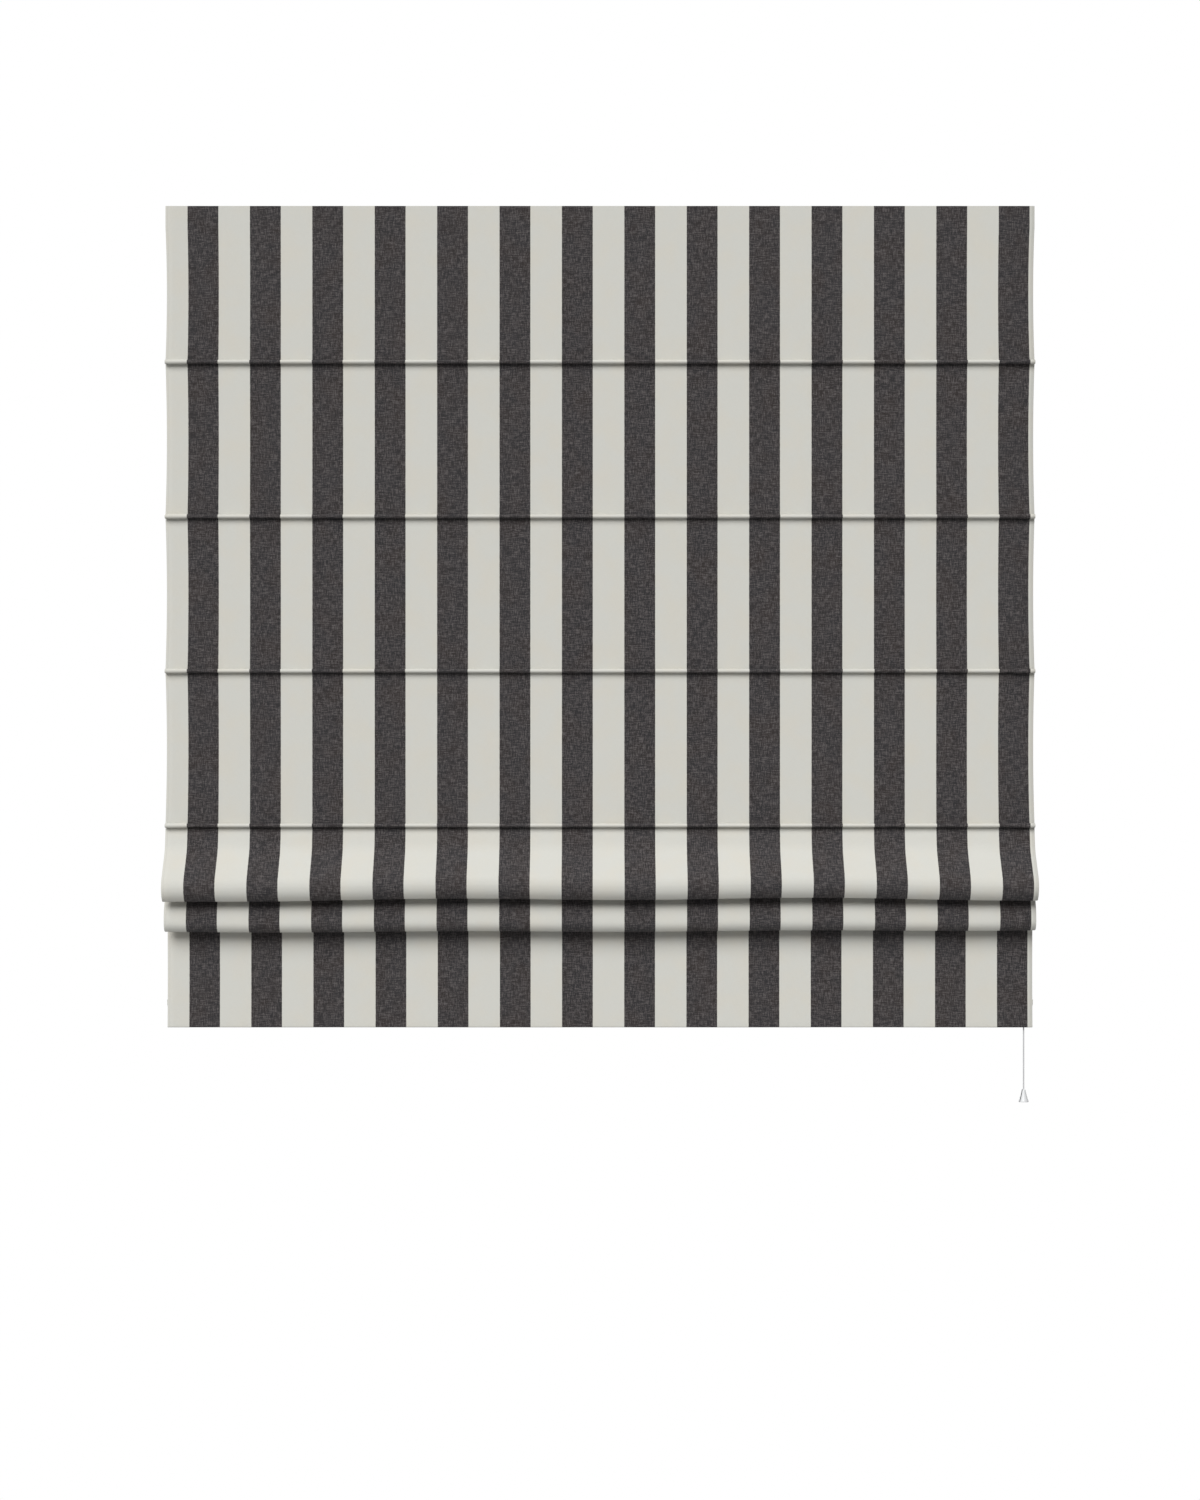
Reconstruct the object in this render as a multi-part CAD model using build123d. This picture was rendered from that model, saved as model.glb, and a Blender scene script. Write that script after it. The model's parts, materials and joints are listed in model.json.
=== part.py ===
from build123d import *
import math
import os

os.makedirs("parts", exist_ok=True)

# A cord operated roman blind, partly raised: four flat panels, two soft folds and the bottom
# panel. X runs along the blind, Y into the wall and Z up, in millimetres. The origin is on the
# wall plane, at the centre of the middle bracket's wall face.

# Cloth
WIDTH = 1300
CLOTH = 0.9  # thickness of the canvas
FLAT_Y = -41.55  # middle of the cloth in the flat panels
TOP_Z = 17
PITCH = 231  # cloth from one batten to the next
FIRST_PITCH = 234  # from the top edge to the first batten
SIDE_HEM = 25
HEM_STEP = 0.8  # from the cloth's middle to the middle of a layer turned over behind it

# The folds: how far forward of the flat panels, and how far below the fourth batten's seam
SLOPE_START = (6, 36.6)
SLOPE_END = (41.6, 90)
FOLD_A = (41.6, 23.6, 112)  # front layer, back layer, lowest point
FOLD_B_START = (8.4, 113)
FOLD_B_BULGE = (14.5, 124)
FOLD_B_FRONT = (16.6, 137)
FOLD_B = (16.6, -1.4, 161)
FOLD_R = 8.9
LOOP_R = 4.5  # turn of the cloth over a gathered batten
LOOP_5 = (-5, 21)  # middle and top of the turn over batten 5
LOOP_6 = (-10.5, 89.3)
PANEL_FORWARD = -15  # the bottom panel hangs behind the flat ones
BOTTOM_DOWN = 304

# Battens and the tucks that hold them
ROD_R, ROD_LENGTH = 1.75, 1292
TUCK_IN_R = 2.0
TUCK_OUT_R = TUCK_IN_R + CLOTH
TUCK_FORWARD = 5.5
NECK = 2 * CLOTH

# Weight bar in the bottom hem
BAR_HIGH, BAR_THICK, BAR_LENGTH = 25, 3, 1236
BAR_END = 3
BAR_GAP = 0.5
POCKET_GAP = 3.7
POCKET_HIGH = 31

# Headrail
RAIL_LENGTH = 1290
RAIL_FRONT, RAIL_BACK = -38.7, -10.7
RAIL_MID = (RAIL_FRONT + RAIL_BACK) / 2
RAIL_HALF = 13
RAIL_CORNER = 1
WALL = 1.4
WEB_Z = 5
TOP_SLOT = 11
MOUTH_FRONT, MOUTH_BACK = -34.5, -14
LIP_RETURN = 1
CAP_THICK, CAP_PLUG, PLUG_WALL, PLUG_GAP = 3, 4.2, 1.3, 0.3
CAP_PROUD = 0.3

# Touch tape between the cloth and the headrail
TAPE = 1.2
TAPE_LENGTH = 1284
LOOP_TAPE_Z = (-9, 16)
HOOK_TAPE_Z = (-8, 12)

# Brackets
BRACKET_X = (-500, 0, 500)
BRACKET_WIDE, BRACKET_THICK, BRACKET_HALF, BRACKET_REACH = 25, 2, 15, 37
BRACKET_CORNER = 4
SCREW_HOLE_R, SCREW_Z = 2.25, 8
LEVER_SHAFT_R, LEVER_GAP = 3, 0.06
CAM_LONG, CAM_WIDE, CAM_Z = 18, 9, (9.4, 11.3)
ARM_LONG, ARM_WIDE, ARM_Z = 20, 8, (15.3, 16.8)

# Cords, and the wheels that they turn over
LIFT_X = (-575, -192, 192, 575)
LANES = (-16.5, -18.5, -20.5, -22.5)  # side by side along the rail, in the order of LIFT_X
LANE_SHIFT = 60  # run over which a cord leaves its wheel's line for its lane
LIFT_R = 0.7
LIFT_Y = -31
WHEEL_R, WHEEL_RIM_R, WHEEL_WIDE, WHEEL_Z = 3.7, 5.2, 4.4, -3
CORD_BEND = WHEEL_R + 0.3 + LIFT_R  # from a wheel's middle to the middle of its cord
CORD_Z = WHEEL_Z + CORD_BEND
AXLE_R, AXLE_HOLE_R, BORE_R = 1.25, 1.3, 1.33

# Cord guides
GUIDE_BACK, GUIDE_FRONT = 8, 17  # left and right of the cord's drop
GUIDE_FOOT_Z = (-15, -13.2)
GUIDE_WING_Z = (-10.2, -9)
GUIDE_CHEEK = 1.1
CHEEK_GAP = 0.3

# Cord lock
DROP_X, DROP_Y = 637.4, -19.5
LOCK_X, LOCK_Y, LOCK_Z = (616, 640.2), (-24.6, -14.4), (-26, 3.6)
LOCK_WALL, LOCK_END_WALL, LOCK_DOOR_Z = 1.1, 2, -5
TURN_X = DROP_X - CORD_BEND
JAM_R, JAM_PIN_R, JAM_Z = 3, 1.2, -18
JAM_X = DROP_X - LIFT_R - JAM_R - 0.05
JAM_TRAVEL, JAM_SLANT, JAM_SLOT_R = 4, 30, 1.3
FLUTES, FLUTE_R = 10, 0.45

# Pull: the four cords end in a condenser, and one cord hangs from it with a bell
CONDENSER_TOP, CONDENSER_HIGH = -560, 32
TAIL_END, TAIL_SPACING = -577, 1.6
PULL_R, PULL_TOP, PULL_END = 1, -581, -1316
BELL_TOP, BELL_HIGH, BELL_TOP_R, BELL_FOOT_R, BELL_WALL = -1307.7, 18.8, 1.9, 7.8, 1.1
KNOT_R, KNOT_HIGH = 2.4, 4
KNOT_TOP = -1312.4

# Rings, and the stops under the lowest ones
RING_R, RING_WIRE = 6, 1
RING_GAP = 0.1
CORD_OFF_RING = 2.4
STOP_BELOW, STOP_R, STOP_HIGH, STOP_BORE_R = 10, 3, 9, 0.95
LIFT_END_BELOW = 23

SEAMS = [TOP_Z - FIRST_PITCH - PITCH * i for i in range(4)]
SEAM_4 = SEAMS[3]


def at(forward, down):
    """A point of the cloth's section, as Y and Z."""
    return (FLAT_Y - forward, SEAM_4 - down)


BATTENS = [((FLAT_Y - TUCK_FORWARD, seam), (FLAT_Y, seam)) for seam in SEAMS] + [
    (at(forward, down + LOOP_R), at(forward, down)) for forward, down in (LOOP_5, LOOP_6)
]  # each batten's middle and its seam, from the top, as Y and Z
RING_Z = [middle[1] for middle, _ in BATTENS]
RING_FLAT_Y = FLAT_Y + CLOTH / 2 + RING_GAP + RING_R + RING_WIRE
RING_Y = [RING_FLAT_Y] * 4 + [RING_FLAT_Y - loop[0] + LOOP_R for loop in (LOOP_5, LOOP_6)]
LIFT_LOW_Y = RING_Y[5] - CORD_OFF_RING
BOTTOM_Y, BOTTOM_Z = at(PANEL_FORWARD, BOTTOM_DOWN)
BAR_Y = BOTTOM_Y + (CLOTH + POCKET_GAP) / 2
BAR_Z = BOTTOM_Z + CLOTH + BAR_GAP + BAR_HIGH / 2


def along_x(section, length, middle=0):
    """A section drawn in Y and Z, made solid along X."""
    return Pos(middle, 0, 0) * extrude(Plane.YZ * section, amount=length / 2, both=True)


def block(x, y, z):
    """A box from its lowest to its highest X, Y and Z."""
    size = [high - low for low, high in (x, y, z)]
    middle = [(high + low) / 2 for low, high in (x, y, z)]
    return Pos(*middle) * Box(*size)


def pin(x, y, z, radius):
    """A round bar along Y, from y[0] to y[1]."""
    return Pos(x, (y[0] + y[1]) / 2, z) * Rot(90, 0, 0) * Cylinder(radius, y[1] - y[0])


def turned(profile, x, y):
    """A closed profile of radius and height, turned about an upright axis."""
    face = Plane.XZ * make_face(Polyline(*profile, close=True))
    return Pos(x, y, 0) * revolve(face, Axis.Z)


def save(shape, name):
    export_step(shape, f"parts/{name}.step")


def beside(points, radii, step):
    """The corners and radii of a line that runs beside another one, step to its left."""
    spots = [Vector(*point) for point in points]
    ways = [(b - a).normalized() for a, b in zip(spots, spots[1:])]
    left = [Vector(-way.Y, way.X) for way in ways]
    corners = [spots[0] + left[0] * step]
    bends = []
    for i, radius in enumerate(radii):
        both = left[i] + left[i + 1]
        corners.append(spots[i + 1] + both * (step / (1 + left[i].dot(left[i + 1]))))
        turn = ways[i].X * ways[i + 1].Y - ways[i].Y * ways[i + 1].X
        bends.append(radius - step * math.copysign(1, turn))
    return corners + [spots[-1] + left[-1] * step], bends


def cloth_line(step, top=TOP_Z):
    """A line beside the cloth's middle, step behind it, from the top down to the bottom edge."""
    corners = [
        (at(0, 0), 30),
        (at(*SLOPE_START), 40),
        (at(*SLOPE_END), 32),
        (at(FOLD_A[0], FOLD_A[2]), FOLD_R),
        (at(FOLD_A[1], FOLD_A[2]), FOLD_R),
        (at(LOOP_5[0] + LOOP_R, LOOP_5[1]), LOOP_R - 0.1),
        (at(LOOP_5[0] - LOOP_R, LOOP_5[1]), LOOP_R - 0.1),
        (at(*FOLD_B_START), 30),
        (at(*FOLD_B_BULGE), 30),
        (at(*FOLD_B_FRONT), 30),
        (at(FOLD_B[0], FOLD_B[2]), FOLD_R),
        (at(FOLD_B[1], FOLD_B[2]), FOLD_R),
        (at(LOOP_6[0] + LOOP_R, LOOP_6[1]), LOOP_R - 0.1),
        (at(LOOP_6[0] - LOOP_R, LOOP_6[1]), LOOP_R - 0.1),
    ]
    points = [(FLAT_Y, top)] + [corner for corner, _ in corners] + [(BOTTOM_Y, BOTTOM_Z)]
    points, bends = beside(points, [radius for _, radius in corners], step)
    return FilletPolyline(*points, radius=bends)


def layer(step=0, top=TOP_Z):
    """The section of one layer of cloth that runs step behind the cloth's middle."""
    front, back = cloth_line(step - CLOTH / 2, top), cloth_line(step + CLOTH / 2, top)
    ends = [Edge.make_line(front @ end, back @ end) for end in (0, 1)]
    return make_face(front.edges() + back.edges() + ends)


def tuck(middle, seam):
    """The round pocket that a batten lies in, with the stitched neck up to its seam."""
    size = (abs(seam[0] - middle[0]) or NECK, abs(seam[1] - middle[1]) or NECK)
    neck = Pos((middle[0] + seam[0]) / 2, (middle[1] + seam[1]) / 2) * Rectangle(*size)
    return Pos(*middle) * Circle(TUCK_OUT_R) + neck


def make_cloth():
    """The canvas, one sheet: its tucks, its folds, its bottom hem and its side hems."""
    section = layer()
    for middle, seam in BATTENS:
        section += tuck(middle, seam)
    for middle, _ in BATTENS:
        section -= Pos(*middle) * Circle(TUCK_IN_R)

    # The bottom hem turns up behind the cloth and leaves a pocket for the weight bar.
    back = BOTTOM_Y + CLOTH + POCKET_GAP
    low, high = BOTTOM_Z + CLOTH / 2, BOTTOM_Z + POCKET_HIGH
    hem = Polyline((BOTTOM_Y, low), (back, low), (back, high), (BOTTOM_Y, high + POCKET_GAP + CLOTH))
    section += trace(hem, CLOTH)
    body = along_x(section, WIDTH)

    # The sides are turned over behind the cloth, from under the touch tape down.
    turned_over = layer(HEM_STEP, LOOP_TAPE_Z[0] - 1)
    for end in (-1, 1):
        body += along_x(turned_over, SIDE_HEM, end * (WIDTH - SIDE_HEM) / 2)
    save(body, "cloth")


def make_tapes():
    """The loop tape sewn behind the cloth's top, and the hook tape glued to the headrail."""
    cloth_back = FLAT_Y + CLOTH / 2
    long = (-TAPE_LENGTH / 2, TAPE_LENGTH / 2)
    save(block(long, (cloth_back, cloth_back + TAPE), LOOP_TAPE_Z), "loop_tape")
    save(block(long, (cloth_back + TAPE, RAIL_FRONT), HOOK_TAPE_Z), "hook_tape")


def make_headrail():
    """The extruded rail: a slot for the brackets above, a channel for the cords below."""
    inner = RAIL_BACK - RAIL_FRONT - 2 * WALL
    slot_z = (WEB_Z + WALL / 2, RAIL_HALF - WALL)
    channel_z = (WALL - RAIL_HALF, WEB_Z - WALL / 2)
    section = Pos(RAIL_MID, 0) * RectangleRounded(RAIL_BACK - RAIL_FRONT, 2 * RAIL_HALF, RAIL_CORNER)
    for low, high in (slot_z, channel_z):
        section -= Pos(RAIL_MID, (low + high) / 2) * Rectangle(inner, high - low)
    section -= Pos(RAIL_MID, RAIL_HALF) * Rectangle(TOP_SLOT, 3 * WALL)
    mouth = Rectangle(MOUTH_BACK - MOUTH_FRONT, 3 * WALL)
    section -= Pos((MOUTH_BACK + MOUTH_FRONT) / 2, -RAIL_HALF) * mouth
    # The lips beside the mouth are turned up, which stiffens them.
    for y in (MOUTH_FRONT - LIP_RETURN / 2, MOUTH_BACK + LIP_RETURN / 2):
        section += Pos(y, channel_z[0] + LIP_RETURN / 2) * Rectangle(LIP_RETURN, LIP_RETURN)
    save(along_x(section, RAIL_LENGTH), "headrail")


def make_end_caps():
    """Moulded caps, each with a hollow plug that grips inside the cord channel."""
    y = (RAIL_FRONT + WALL + PLUG_GAP, RAIL_BACK - WALL - PLUG_GAP)
    z = (WALL - RAIL_HALF + LIP_RETURN + PLUG_GAP, WEB_Z - WALL / 2 - PLUG_GAP)
    size = (RAIL_BACK - RAIL_FRONT + 2 * CAP_PROUD, 2 * (RAIL_HALF + CAP_PROUD))
    for name, end in (("end_cap_left", -1), ("end_cap_right", 1)):
        cap = along_x(Pos(RAIL_MID, 0) * RectangleRounded(*size, RAIL_CORNER + CAP_PROUD), CAP_THICK)
        outer = cap.faces().sort_by(Axis.X)[0 if end < 0 else -1]
        cap = Pos(end * (RAIL_LENGTH + CAP_THICK) / 2, 0, 0) * chamfer(outer.edges(), CAP_PROUD)
        x = sorted((end * (RAIL_LENGTH / 2 - CAP_PLUG), end * RAIL_LENGTH / 2))
        hollow_y = (y[0] + PLUG_WALL, y[1] - PLUG_WALL)
        hollow_z = (z[0] + PLUG_WALL, z[1] - PLUG_WALL)
        save(cap + (block(x, y, z) - block(x, hollow_y, hollow_z)), name)


def make_brackets():
    """Steel angle brackets, each with a swivel lever whose cam locks under the rail's slot."""
    middle = BRACKET_THICK / 2
    bent = FilletPolyline(
        (-middle, -BRACKET_HALF),
        (-middle, BRACKET_HALF - middle),
        (-BRACKET_REACH, BRACKET_HALF - middle),
        radius=1.5 * BRACKET_THICK,
    )
    for number, x in enumerate(BRACKET_X, 1):
        bracket = along_x(trace(bent, BRACKET_THICK), BRACKET_WIDE)
        foot = bracket.edges().filter_by(Axis.Y).group_by(Axis.Z)[0]
        nose = bracket.edges().filter_by(Axis.Z).group_by(Axis.Y)[0]
        bracket = fillet(foot + nose, BRACKET_CORNER)
        for z in (-SCREW_Z, SCREW_Z):
            bracket -= pin(0, (-2 * BRACKET_THICK, 1), z, SCREW_HOLE_R)
        hole = Cylinder(LEVER_SHAFT_R + LEVER_GAP, 4 * BRACKET_THICK)
        bracket -= Pos(0, RAIL_MID, BRACKET_HALF) * hole
        save(Pos(x, 0, 0) * bracket, f"bracket_{number}")

        cam = extrude(SlotOverall(CAM_LONG, CAM_WIDE, rotation=90), amount=CAM_Z[1] - CAM_Z[0])
        arm = extrude(SlotOverall(ARM_LONG, ARM_WIDE), amount=ARM_Z[1] - ARM_Z[0])
        shaft = extrude(Circle(LEVER_SHAFT_R), amount=ARM_Z[1] - CAM_Z[0])
        arm = Pos((ARM_LONG - ARM_WIDE) / 2, 0, ARM_Z[0] - CAM_Z[0]) * arm
        save(Pos(x, RAIL_MID, CAM_Z[0]) * (cam + shaft + arm), f"bracket_lever_{number}")


def wheel(radius, rim, width):
    """A grooved wheel with its bore, along Y and centred on the origin."""
    half, lip = width / 2, width / 6
    groove = [(rim, half), (rim, half - lip), (radius, half - 2 * lip)]
    side = groove + [(radius_at, -height) for radius_at, height in reversed(groove)]
    face = Plane.XZ * make_face(Polyline((BORE_R, half), *side, (BORE_R, -half), close=True))
    return Rot(90, 0, 0) * revolve(face, Axis.Z)


def make_cord_guides():
    """Clips in the rail's mouth, each with a wheel that turns a lift cord down."""
    mouth = (MOUTH_FRONT + CHEEK_GAP, MOUTH_BACK - CHEEK_GAP)
    wheel_y = (LIFT_Y - WHEEL_WIDE / 2, LIFT_Y + WHEEL_WIDE / 2)
    cheeks = (
        (wheel_y[0] - CHEEK_GAP - GUIDE_CHEEK, wheel_y[0] - CHEEK_GAP),
        (wheel_y[1] + CHEEK_GAP, wheel_y[1] + CHEEK_GAP + GUIDE_CHEEK),
    )
    for number, x in enumerate(LIFT_X, 1):
        ends = (x - GUIDE_BACK, x + GUIDE_FRONT)
        axle_x = x + CORD_BEND
        foot = block(ends, (RAIL_FRONT + 1, RAIL_BACK - 1), GUIDE_FOOT_Z)
        foot = fillet(foot.edges().filter_by(Axis.Z), 3)
        guide = foot + block(ends, mouth, (GUIDE_FOOT_Z[1], GUIDE_WING_Z[1]))
        wings = block((axle_x - 5, axle_x + 5), (mouth[0] - 1.5, mouth[1] + 1.5), GUIDE_WING_Z)
        guide += chamfer(wings.edges().filter_by(Axis.X).group_by(Axis.Z)[-1], 0.8)
        for cheek in cheeks:
            guide += block((axle_x - 4, axle_x + 4), cheek, (GUIDE_WING_Z[1] - 1, WHEEL_Z))
            guide += pin(axle_x, cheek, WHEEL_Z, 4)
        guide -= pin(axle_x, (cheeks[0][0] - 1, cheeks[1][1] + 1), WHEEL_Z, AXLE_HOLE_R)
        # The drop hole is flared below, so that the cord doesn't rub on an edge.
        guide -= Pos(x, LIFT_Y, (GUIDE_FOOT_Z[0] + GUIDE_WING_Z[1]) / 2) * Cylinder(1.6, 8)
        guide -= Pos(x, LIFT_Y, GUIDE_FOOT_Z[0] + 0.8) * Cone(2.6, 1.6, 1.7)
        save(guide, f"cord_guide_{number}")
        place = Pos(axle_x, LIFT_Y, WHEEL_Z)
        save(place * wheel(WHEEL_R, WHEEL_RIM_R, WHEEL_WIDE), f"guide_wheel_{number}")
        save(pin(axle_x, (cheeks[0][0], cheeks[1][1]), WHEEL_Z, AXLE_R), f"guide_axle_{number}")


def make_cord_lock():
    """The lock at the rail's right end: cords turn over a wheel, and a fluted roller jams them."""
    inside_y = (LOCK_Y[0] + LOCK_WALL, LOCK_Y[1] - LOCK_WALL)
    inside_x = (LOCK_X[0] + LOCK_WALL, LOCK_X[1] - LOCK_END_WALL)
    housing = block(LOCK_X, LOCK_Y, LOCK_Z)
    housing = fillet(housing.edges().filter_by(Axis.Y).group_by(Axis.Z)[0], 3)
    flange = block((LOCK_X[0] - 4, LOCK_X[1]), (RAIL_FRONT + 1, RAIL_BACK - 1), GUIDE_FOOT_Z)
    housing += fillet(flange.edges().filter_by(Axis.Z), 2)
    housing -= block(inside_x, inside_y, (LOCK_Z[0] + LOCK_WALL, LOCK_Z[1] + 1))
    housing -= block((LOCK_X[0] - 1, inside_x[1]), inside_y, (LOCK_DOOR_Z, LOCK_Z[1] + 1))
    housing -= block((JAM_X - 1, inside_x[1]), inside_y, (LOCK_Z[0] - 1, LOCK_Z[0] + 2 * LOCK_WALL))
    through = (LOCK_Y[0] - 1, LOCK_Y[1] + 1)
    housing -= pin(TURN_X, through, WHEEL_Z, AXLE_HOLE_R)
    lean = math.radians(JAM_SLANT)
    way = Vector(-math.sin(lean), 0, math.cos(lean)) * (JAM_TRAVEL / 2)
    slot = extrude(SlotCenterToCenter(JAM_TRAVEL, 2 * JAM_SLOT_R, rotation=90 + JAM_SLANT), 20, both=True)
    housing -= Pos(JAM_X + way.X, DROP_Y, JAM_Z + way.Z) * Rot(90, 0, 0) * slot
    save(housing, "lock_housing")

    long = inside_y[1] - inside_y[0] - 0.4
    turn = Cylinder(WHEEL_R, long) - Cylinder(BORE_R, 2 * long)
    save(Pos(TURN_X, DROP_Y, WHEEL_Z) * Rot(90, 0, 0) * turn, "lock_turn_wheel")
    save(pin(TURN_X, LOCK_Y, WHEEL_Z, AXLE_R), "lock_pin")
    jam = Circle(JAM_R)
    for flute in PolarLocations(JAM_R, FLUTES, start_angle=180 / FLUTES):
        jam -= flute * Circle(FLUTE_R)
    jam = extrude(jam, amount=long / 2, both=True)
    jam += Cylinder(JAM_PIN_R, LOCK_Y[1] - LOCK_Y[0] - 0.4)
    save(Pos(JAM_X, DROP_Y, JAM_Z) * Rot(90, 0, 0) * jam, "lock_jam_roller")


def make_battens():
    """Fibreglass rods, and the rings that each batten hangs from."""
    for number, (middle, _) in enumerate(BATTENS, 1):
        save(along_x(Pos(*middle) * Circle(ROD_R), ROD_LENGTH), f"batten_{number}")
        rings = [Pos(x, RING_Y[number - 1], RING_Z[number - 1]) * Torus(RING_R, RING_WIRE) for x in LIFT_X]
        save(Compound(children=rings), f"rings_{number}")


def make_bottom_weight():
    """A flat bar with a soft end piece at each end, and the stops under the lowest rings."""
    bar = along_x(Pos(BAR_Y, BAR_Z) * RectangleRounded(BAR_THICK, BAR_HIGH, 1), BAR_LENGTH)
    save(bar, "weight_bar")
    ends = []
    for side in (-1, 1):
        end = Box(BAR_END, BAR_THICK, BAR_HIGH)
        outer = end.faces().sort_by(Axis.X)[0 if side < 0 else -1]
        end = fillet(outer.edges().filter_by(Axis.Y), 2)
        ends.append(Pos(side * (BAR_LENGTH + BAR_END) / 2, BAR_Y, BAR_Z) * end)
    save(Compound(children=ends), "weight_bar_ends")
    top = RING_Z[5] - STOP_BELOW
    profile = [
        (STOP_BORE_R, top),
        (STOP_R - 1, top),
        (STOP_R, top - 2),
        (STOP_R, top - STOP_HIGH + 2),
        (STOP_R - 1, top - STOP_HIGH),
        (STOP_BORE_R, top - STOP_HIGH),
    ]
    save(Compound(children=[turned(profile, x, LIFT_LOW_Y) for x in LIFT_X]), "cord_stops")


def make_lift_cords():
    """Four cords, each from its stop up through the rings, along the rail and down to the pull."""
    for number, (x, lane) in enumerate(zip(LIFT_X, LANES), 1):
        tail_y = DROP_Y + (lane - DROP_Y) * TAIL_SPACING / (LANES[0] - LANES[1])
        leave = x + GUIDE_FRONT
        join = min(leave + LANE_SHIFT, LOCK_X[0] - 1)
        points = [
            (x, LIFT_LOW_Y, RING_Z[5] - LIFT_END_BELOW),
            (x, LIFT_LOW_Y, RING_Z[5]),
            (x, LIFT_Y, RING_Z[3]),
            (x, LIFT_Y, CORD_Z),
            (leave, LIFT_Y, CORD_Z),
            (join, lane, CORD_Z),
            (DROP_X, lane, CORD_Z),
            (DROP_X, lane, LOCK_Z[0]),
            (DROP_X, tail_y, TAIL_END),
        ]
        radii = [8, 8, CORD_BEND, 25, 25, CORD_BEND, 60]
        path = FilletPolyline(*points, radius=radii)
        cord = sweep(Plane(origin=path @ 0, z_dir=path % 0) * Circle(LIFT_R), path=path)
        full = math.pi * LIFT_R**2 * path.length
        print(f"lift_cord_{number}: {path.length:.0f} long, radii {radii}, volume {cord.volume / full:.4f} of full")
        save(cord, f"lift_cord_{number}")


def make_pull():
    """The condenser that gathers the four cords, the pull cord and its bell."""
    low = CONDENSER_TOP - CONDENSER_HIGH
    floor = TAIL_END - 5
    mouth_r, waist_r, bore = 3.7, 5.2, PULL_R + 0.1
    profile = [
        (mouth_r, CONDENSER_TOP),
        (mouth_r + 0.9, CONDENSER_TOP),
        (waist_r, CONDENSER_TOP - 6),
        (waist_r, floor),
        (waist_r - 2.4, low),
        (bore, low),
        (bore, floor),
        (mouth_r, floor + 1.5),
    ]
    save(turned(profile, DROP_X, DROP_Y), "condenser")
    cord = Cylinder(PULL_R, PULL_TOP - PULL_END)
    save(Pos(DROP_X, DROP_Y, (PULL_TOP + PULL_END) / 2) * cord, "pull_cord")
    foot = BELL_TOP - BELL_HIGH
    profile = [
        (bore, BELL_TOP),
        (BELL_TOP_R, BELL_TOP),
        (BELL_TOP_R + 0.4, BELL_TOP - 2.5),
        (BELL_FOOT_R, foot + 1),
        (BELL_FOOT_R, foot),
        (BELL_FOOT_R - BELL_WALL, foot),
        (BELL_TOP_R + 0.9, KNOT_TOP + 0.2),
        (bore, KNOT_TOP + 0.2),
    ]
    save(turned(profile, DROP_X, DROP_Y), "pull_bell")
    profile = [
        (PULL_R, KNOT_TOP),
        (KNOT_R - 0.8, KNOT_TOP),
        (KNOT_R, KNOT_TOP - KNOT_HIGH / 2),
        (KNOT_R - 0.8, KNOT_TOP - KNOT_HIGH),
        (PULL_R, KNOT_TOP - KNOT_HIGH),
    ]
    save(turned(profile, DROP_X, DROP_Y), "pull_knot")


make_cloth()
make_tapes()
make_headrail()
make_end_caps()
make_brackets()
make_cord_guides()
make_cord_lock()
make_battens()
make_bottom_weight()
make_lift_cords()
make_pull()
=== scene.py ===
import json
import logging
import math
from collections.abc import Sequence
from dataclasses import dataclass, field
from enum import Enum
from functools import reduce

import bpy
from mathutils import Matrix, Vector


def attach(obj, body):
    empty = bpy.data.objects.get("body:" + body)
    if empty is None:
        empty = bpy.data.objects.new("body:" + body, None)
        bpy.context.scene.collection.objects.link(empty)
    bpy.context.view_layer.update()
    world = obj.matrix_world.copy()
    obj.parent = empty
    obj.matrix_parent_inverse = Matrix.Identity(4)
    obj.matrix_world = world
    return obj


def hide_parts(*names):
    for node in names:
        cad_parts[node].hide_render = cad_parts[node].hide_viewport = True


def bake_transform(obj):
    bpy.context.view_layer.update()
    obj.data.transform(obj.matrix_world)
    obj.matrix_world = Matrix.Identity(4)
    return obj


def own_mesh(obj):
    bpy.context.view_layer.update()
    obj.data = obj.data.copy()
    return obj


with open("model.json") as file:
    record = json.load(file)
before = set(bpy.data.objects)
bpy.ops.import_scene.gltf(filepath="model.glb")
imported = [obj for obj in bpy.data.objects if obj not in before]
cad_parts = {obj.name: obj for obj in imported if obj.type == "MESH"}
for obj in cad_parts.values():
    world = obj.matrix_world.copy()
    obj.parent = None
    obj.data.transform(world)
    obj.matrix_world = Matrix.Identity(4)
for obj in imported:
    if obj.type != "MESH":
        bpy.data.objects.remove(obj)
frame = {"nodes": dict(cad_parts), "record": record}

LOG = logging.getLogger("roman_blind")
MM = 0.001

# Places that the cloth, the cords and the rings share, in millimetres, as in the CAD source.
FLAT_Y = -41.55
TOP_Z = 17.0
SEAMS = (-217.0, -448.0, -679.0, -910.0)
RISES = (187.0, 210.0, 210.0, 210.0)
HEAD_END = -16.0
HALF_WIDTH = 650.0
CANVAS = 0.75
LIFT_X = (-575.0, -192.0, 192.0, 575.0)
LANES = (-16.5, -18.5, -20.5, -22.5)
LIFT_Y = -31.0
LIFT_LOW_Y = -21.4
LIFT_R = 0.7
RING_Z = (*SEAMS, -935.5, -1003.8)
RING_Y = (-34.0, -34.0, -34.0, -34.0, -24.5, -19.0)
DROP_X = 637.4
DROP_Y = -19.5
WHEEL_TOP = 1.7
LOCK_FOOT = -26.0
CORD_JOIN = -577.0
HEM_STITCH = 262.0
HEM_BACK = 16.6
HEM_ROW = SEAMS[3] - 264.0
TAPE_STITCH = 1.25
TAPE_ROWS = (-8.5, 15.5)
BELL_TOP = -1307.5

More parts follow.
